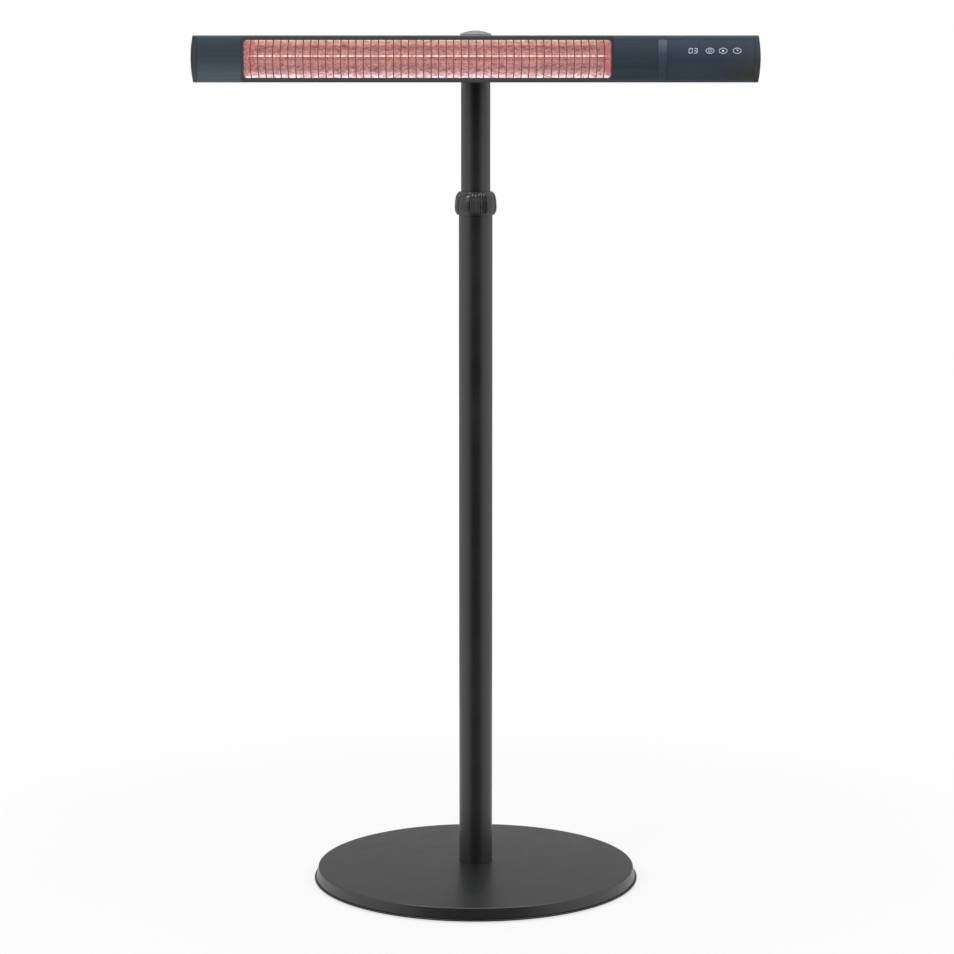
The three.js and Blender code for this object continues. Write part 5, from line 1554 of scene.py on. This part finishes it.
def add_filament():
    """Wound wire: a helix on the lamp's axis, with a straight tail at each end.

    Its radius grows from nothing over its first turn and shrinks again over its last.
    """
    low, high = limits("filament")
    middle = (low + high) / 2
    start, end = low[0] + FILAMENT_TAIL, high[0] - FILAMENT_TAIL
    curls = round((end - start) / FILAMENT_PITCH)
    turn = np.linspace(0, 2 * np.pi * curls, 16 * curls + 1)
    from_end = np.minimum(turn, turn[-1] - turn) / (2 * np.pi)
    radius = FILAMENT_R * smooth(from_end)
    radial = np.stack([0 * turn, np.cos(turn), np.sin(turn)], axis=-1)
    path = radius[:, None] * radial + middle
    path[:, 0] = np.linspace(start, end, len(turn))
    path = np.vstack([(low[0], *middle[1:]), path, (high[0], *middle[1:])])
    radial = np.vstack([radial[:1], radial, radial[-1:]])
    stand_in("wound_filament", "filament", [swept(path, radial, FILAMENT_WIRE_R, 8)])


def add_wire_guard():
    """Upright round wires, butt-welded to a rod above and a rod below.

    Half-way up, each wire stands further out than at its ends, by a share of its distance from
    the window's middle; the share falls off with the square of the height.
    """
    low, high = limits("guard_grille")
    frame_low, frame_high = limits("window_frame")
    inset = FRAME_BAR + WIRE_MARGIN
    first, last = frame_low[0] + inset, frame_high[0] - inset
    depth = (low[1] + high[1]) / 2
    reach = high[2] - ROD_R - HEAD_Z
    stations = np.linspace(-reach, reach, 15)
    radius = np.concatenate([[0], np.full(15, WIRE_R), [0]])
    wire = turned(radius, np.pad(stations, 1, "edge"), ORIGIN, "Z", 12)
    shifts = np.zeros((WIRE_COUNT, 3)) + (0, depth, HEAD_Z)
    shifts[:, 0] = np.linspace(first, last, WIRE_COUNT)
    points, faces = repeated(wire, shifts)
    outwards = (points[:, 0] - (first + last) / 2) / ((last - first) / 2)
    points[:, 0] += WIRE_BOW * outwards * (1 - ((points[:, 2] - HEAD_Z) / reach) ** 2)
    rods = [
        rod(ROD_R, low[0], high[0], BROKEN_EDGE, np.array([0, depth, HEAD_Z + z]), 16)
        for z in (-reach, reach)
    ]
    stand_in("wire_guard", "guard_grille", [(points, faces), *rods])


def add_cable_gland():
    """Strain relief: a flange, then a taper whose radius dips at each rib."""
    low, high = limits("cable_gland")
    middle = (low + high) / 2
    flange_r = high[0] - middle[0]
    seat = HEAD_HIGH[1] + CLEAR
    flange_end = seat + 3 * MM
    bore, body_r, tip_r = 3.6 * MM, 7.7 * MM, 5 * MM
    share = np.linspace(0.08, 1, 60)
    taper_y = flange_end + share * (high[1] - flange_end)
    ribs = 6
    dip = 0.5 * MM * (0.5 - 0.5 * np.cos(2 * np.pi * ribs * share))
    taper_r = body_r + (tip_r - body_r) * share - dip * smooth((1 - share) / 0.08)
    base_r, base_y = filleted([
        (bore, low[1], 0.3 * MM),
        (body_r, low[1], 0.4 * MM),
        (body_r, seat, 0.2 * MM),
        (flange_r, seat, 0.3 * MM),
        (flange_r, flange_end, 0.8 * MM),
        (taper_r[0], taper_y[0], 0),
    ]).T
    radius = np.concatenate([base_r, taper_r[1:], [bore]])
    along = np.concatenate([base_y, taper_y[1:], [high[1]]])
    gland = turned(radius, along, middle * (1, 0, 1), "Y")
    stand_in("ribbed_cable_gland", "cable_gland", [gland])


# ---- Everything together -------------------------------------------------------------------

add_studio()
add_base_cover()
add_base_plate()
add_foot_pads()
add_column_tube("lower_column_tube", "lower_tube", 0.4 * MM)
add_column_tube("upper_column_tube", "upper_tube", 0.3 * MM)
add_locking_collar()
add_pole_cap()
add_column_clamp()
add_friction_washers()
add_tilt_yoke()
add_hinge_bolt()
add_tilt_knob()
add_yoke_screws()
add_head_housing()
add_end_caps()
add_front_panels()
add_window_surround()
add_display_number()
add_touch_marks()
add_wire_guard()
add_reflector()
add_trough_ends()
add_quartz_tube()
add_filament()
add_cable_gland()

for node, cad_piece in frame["nodes"].items():
    for material_slot in cad_piece.material_slots:
        material_slot.material = FINISH[SLOT_OF[node]]
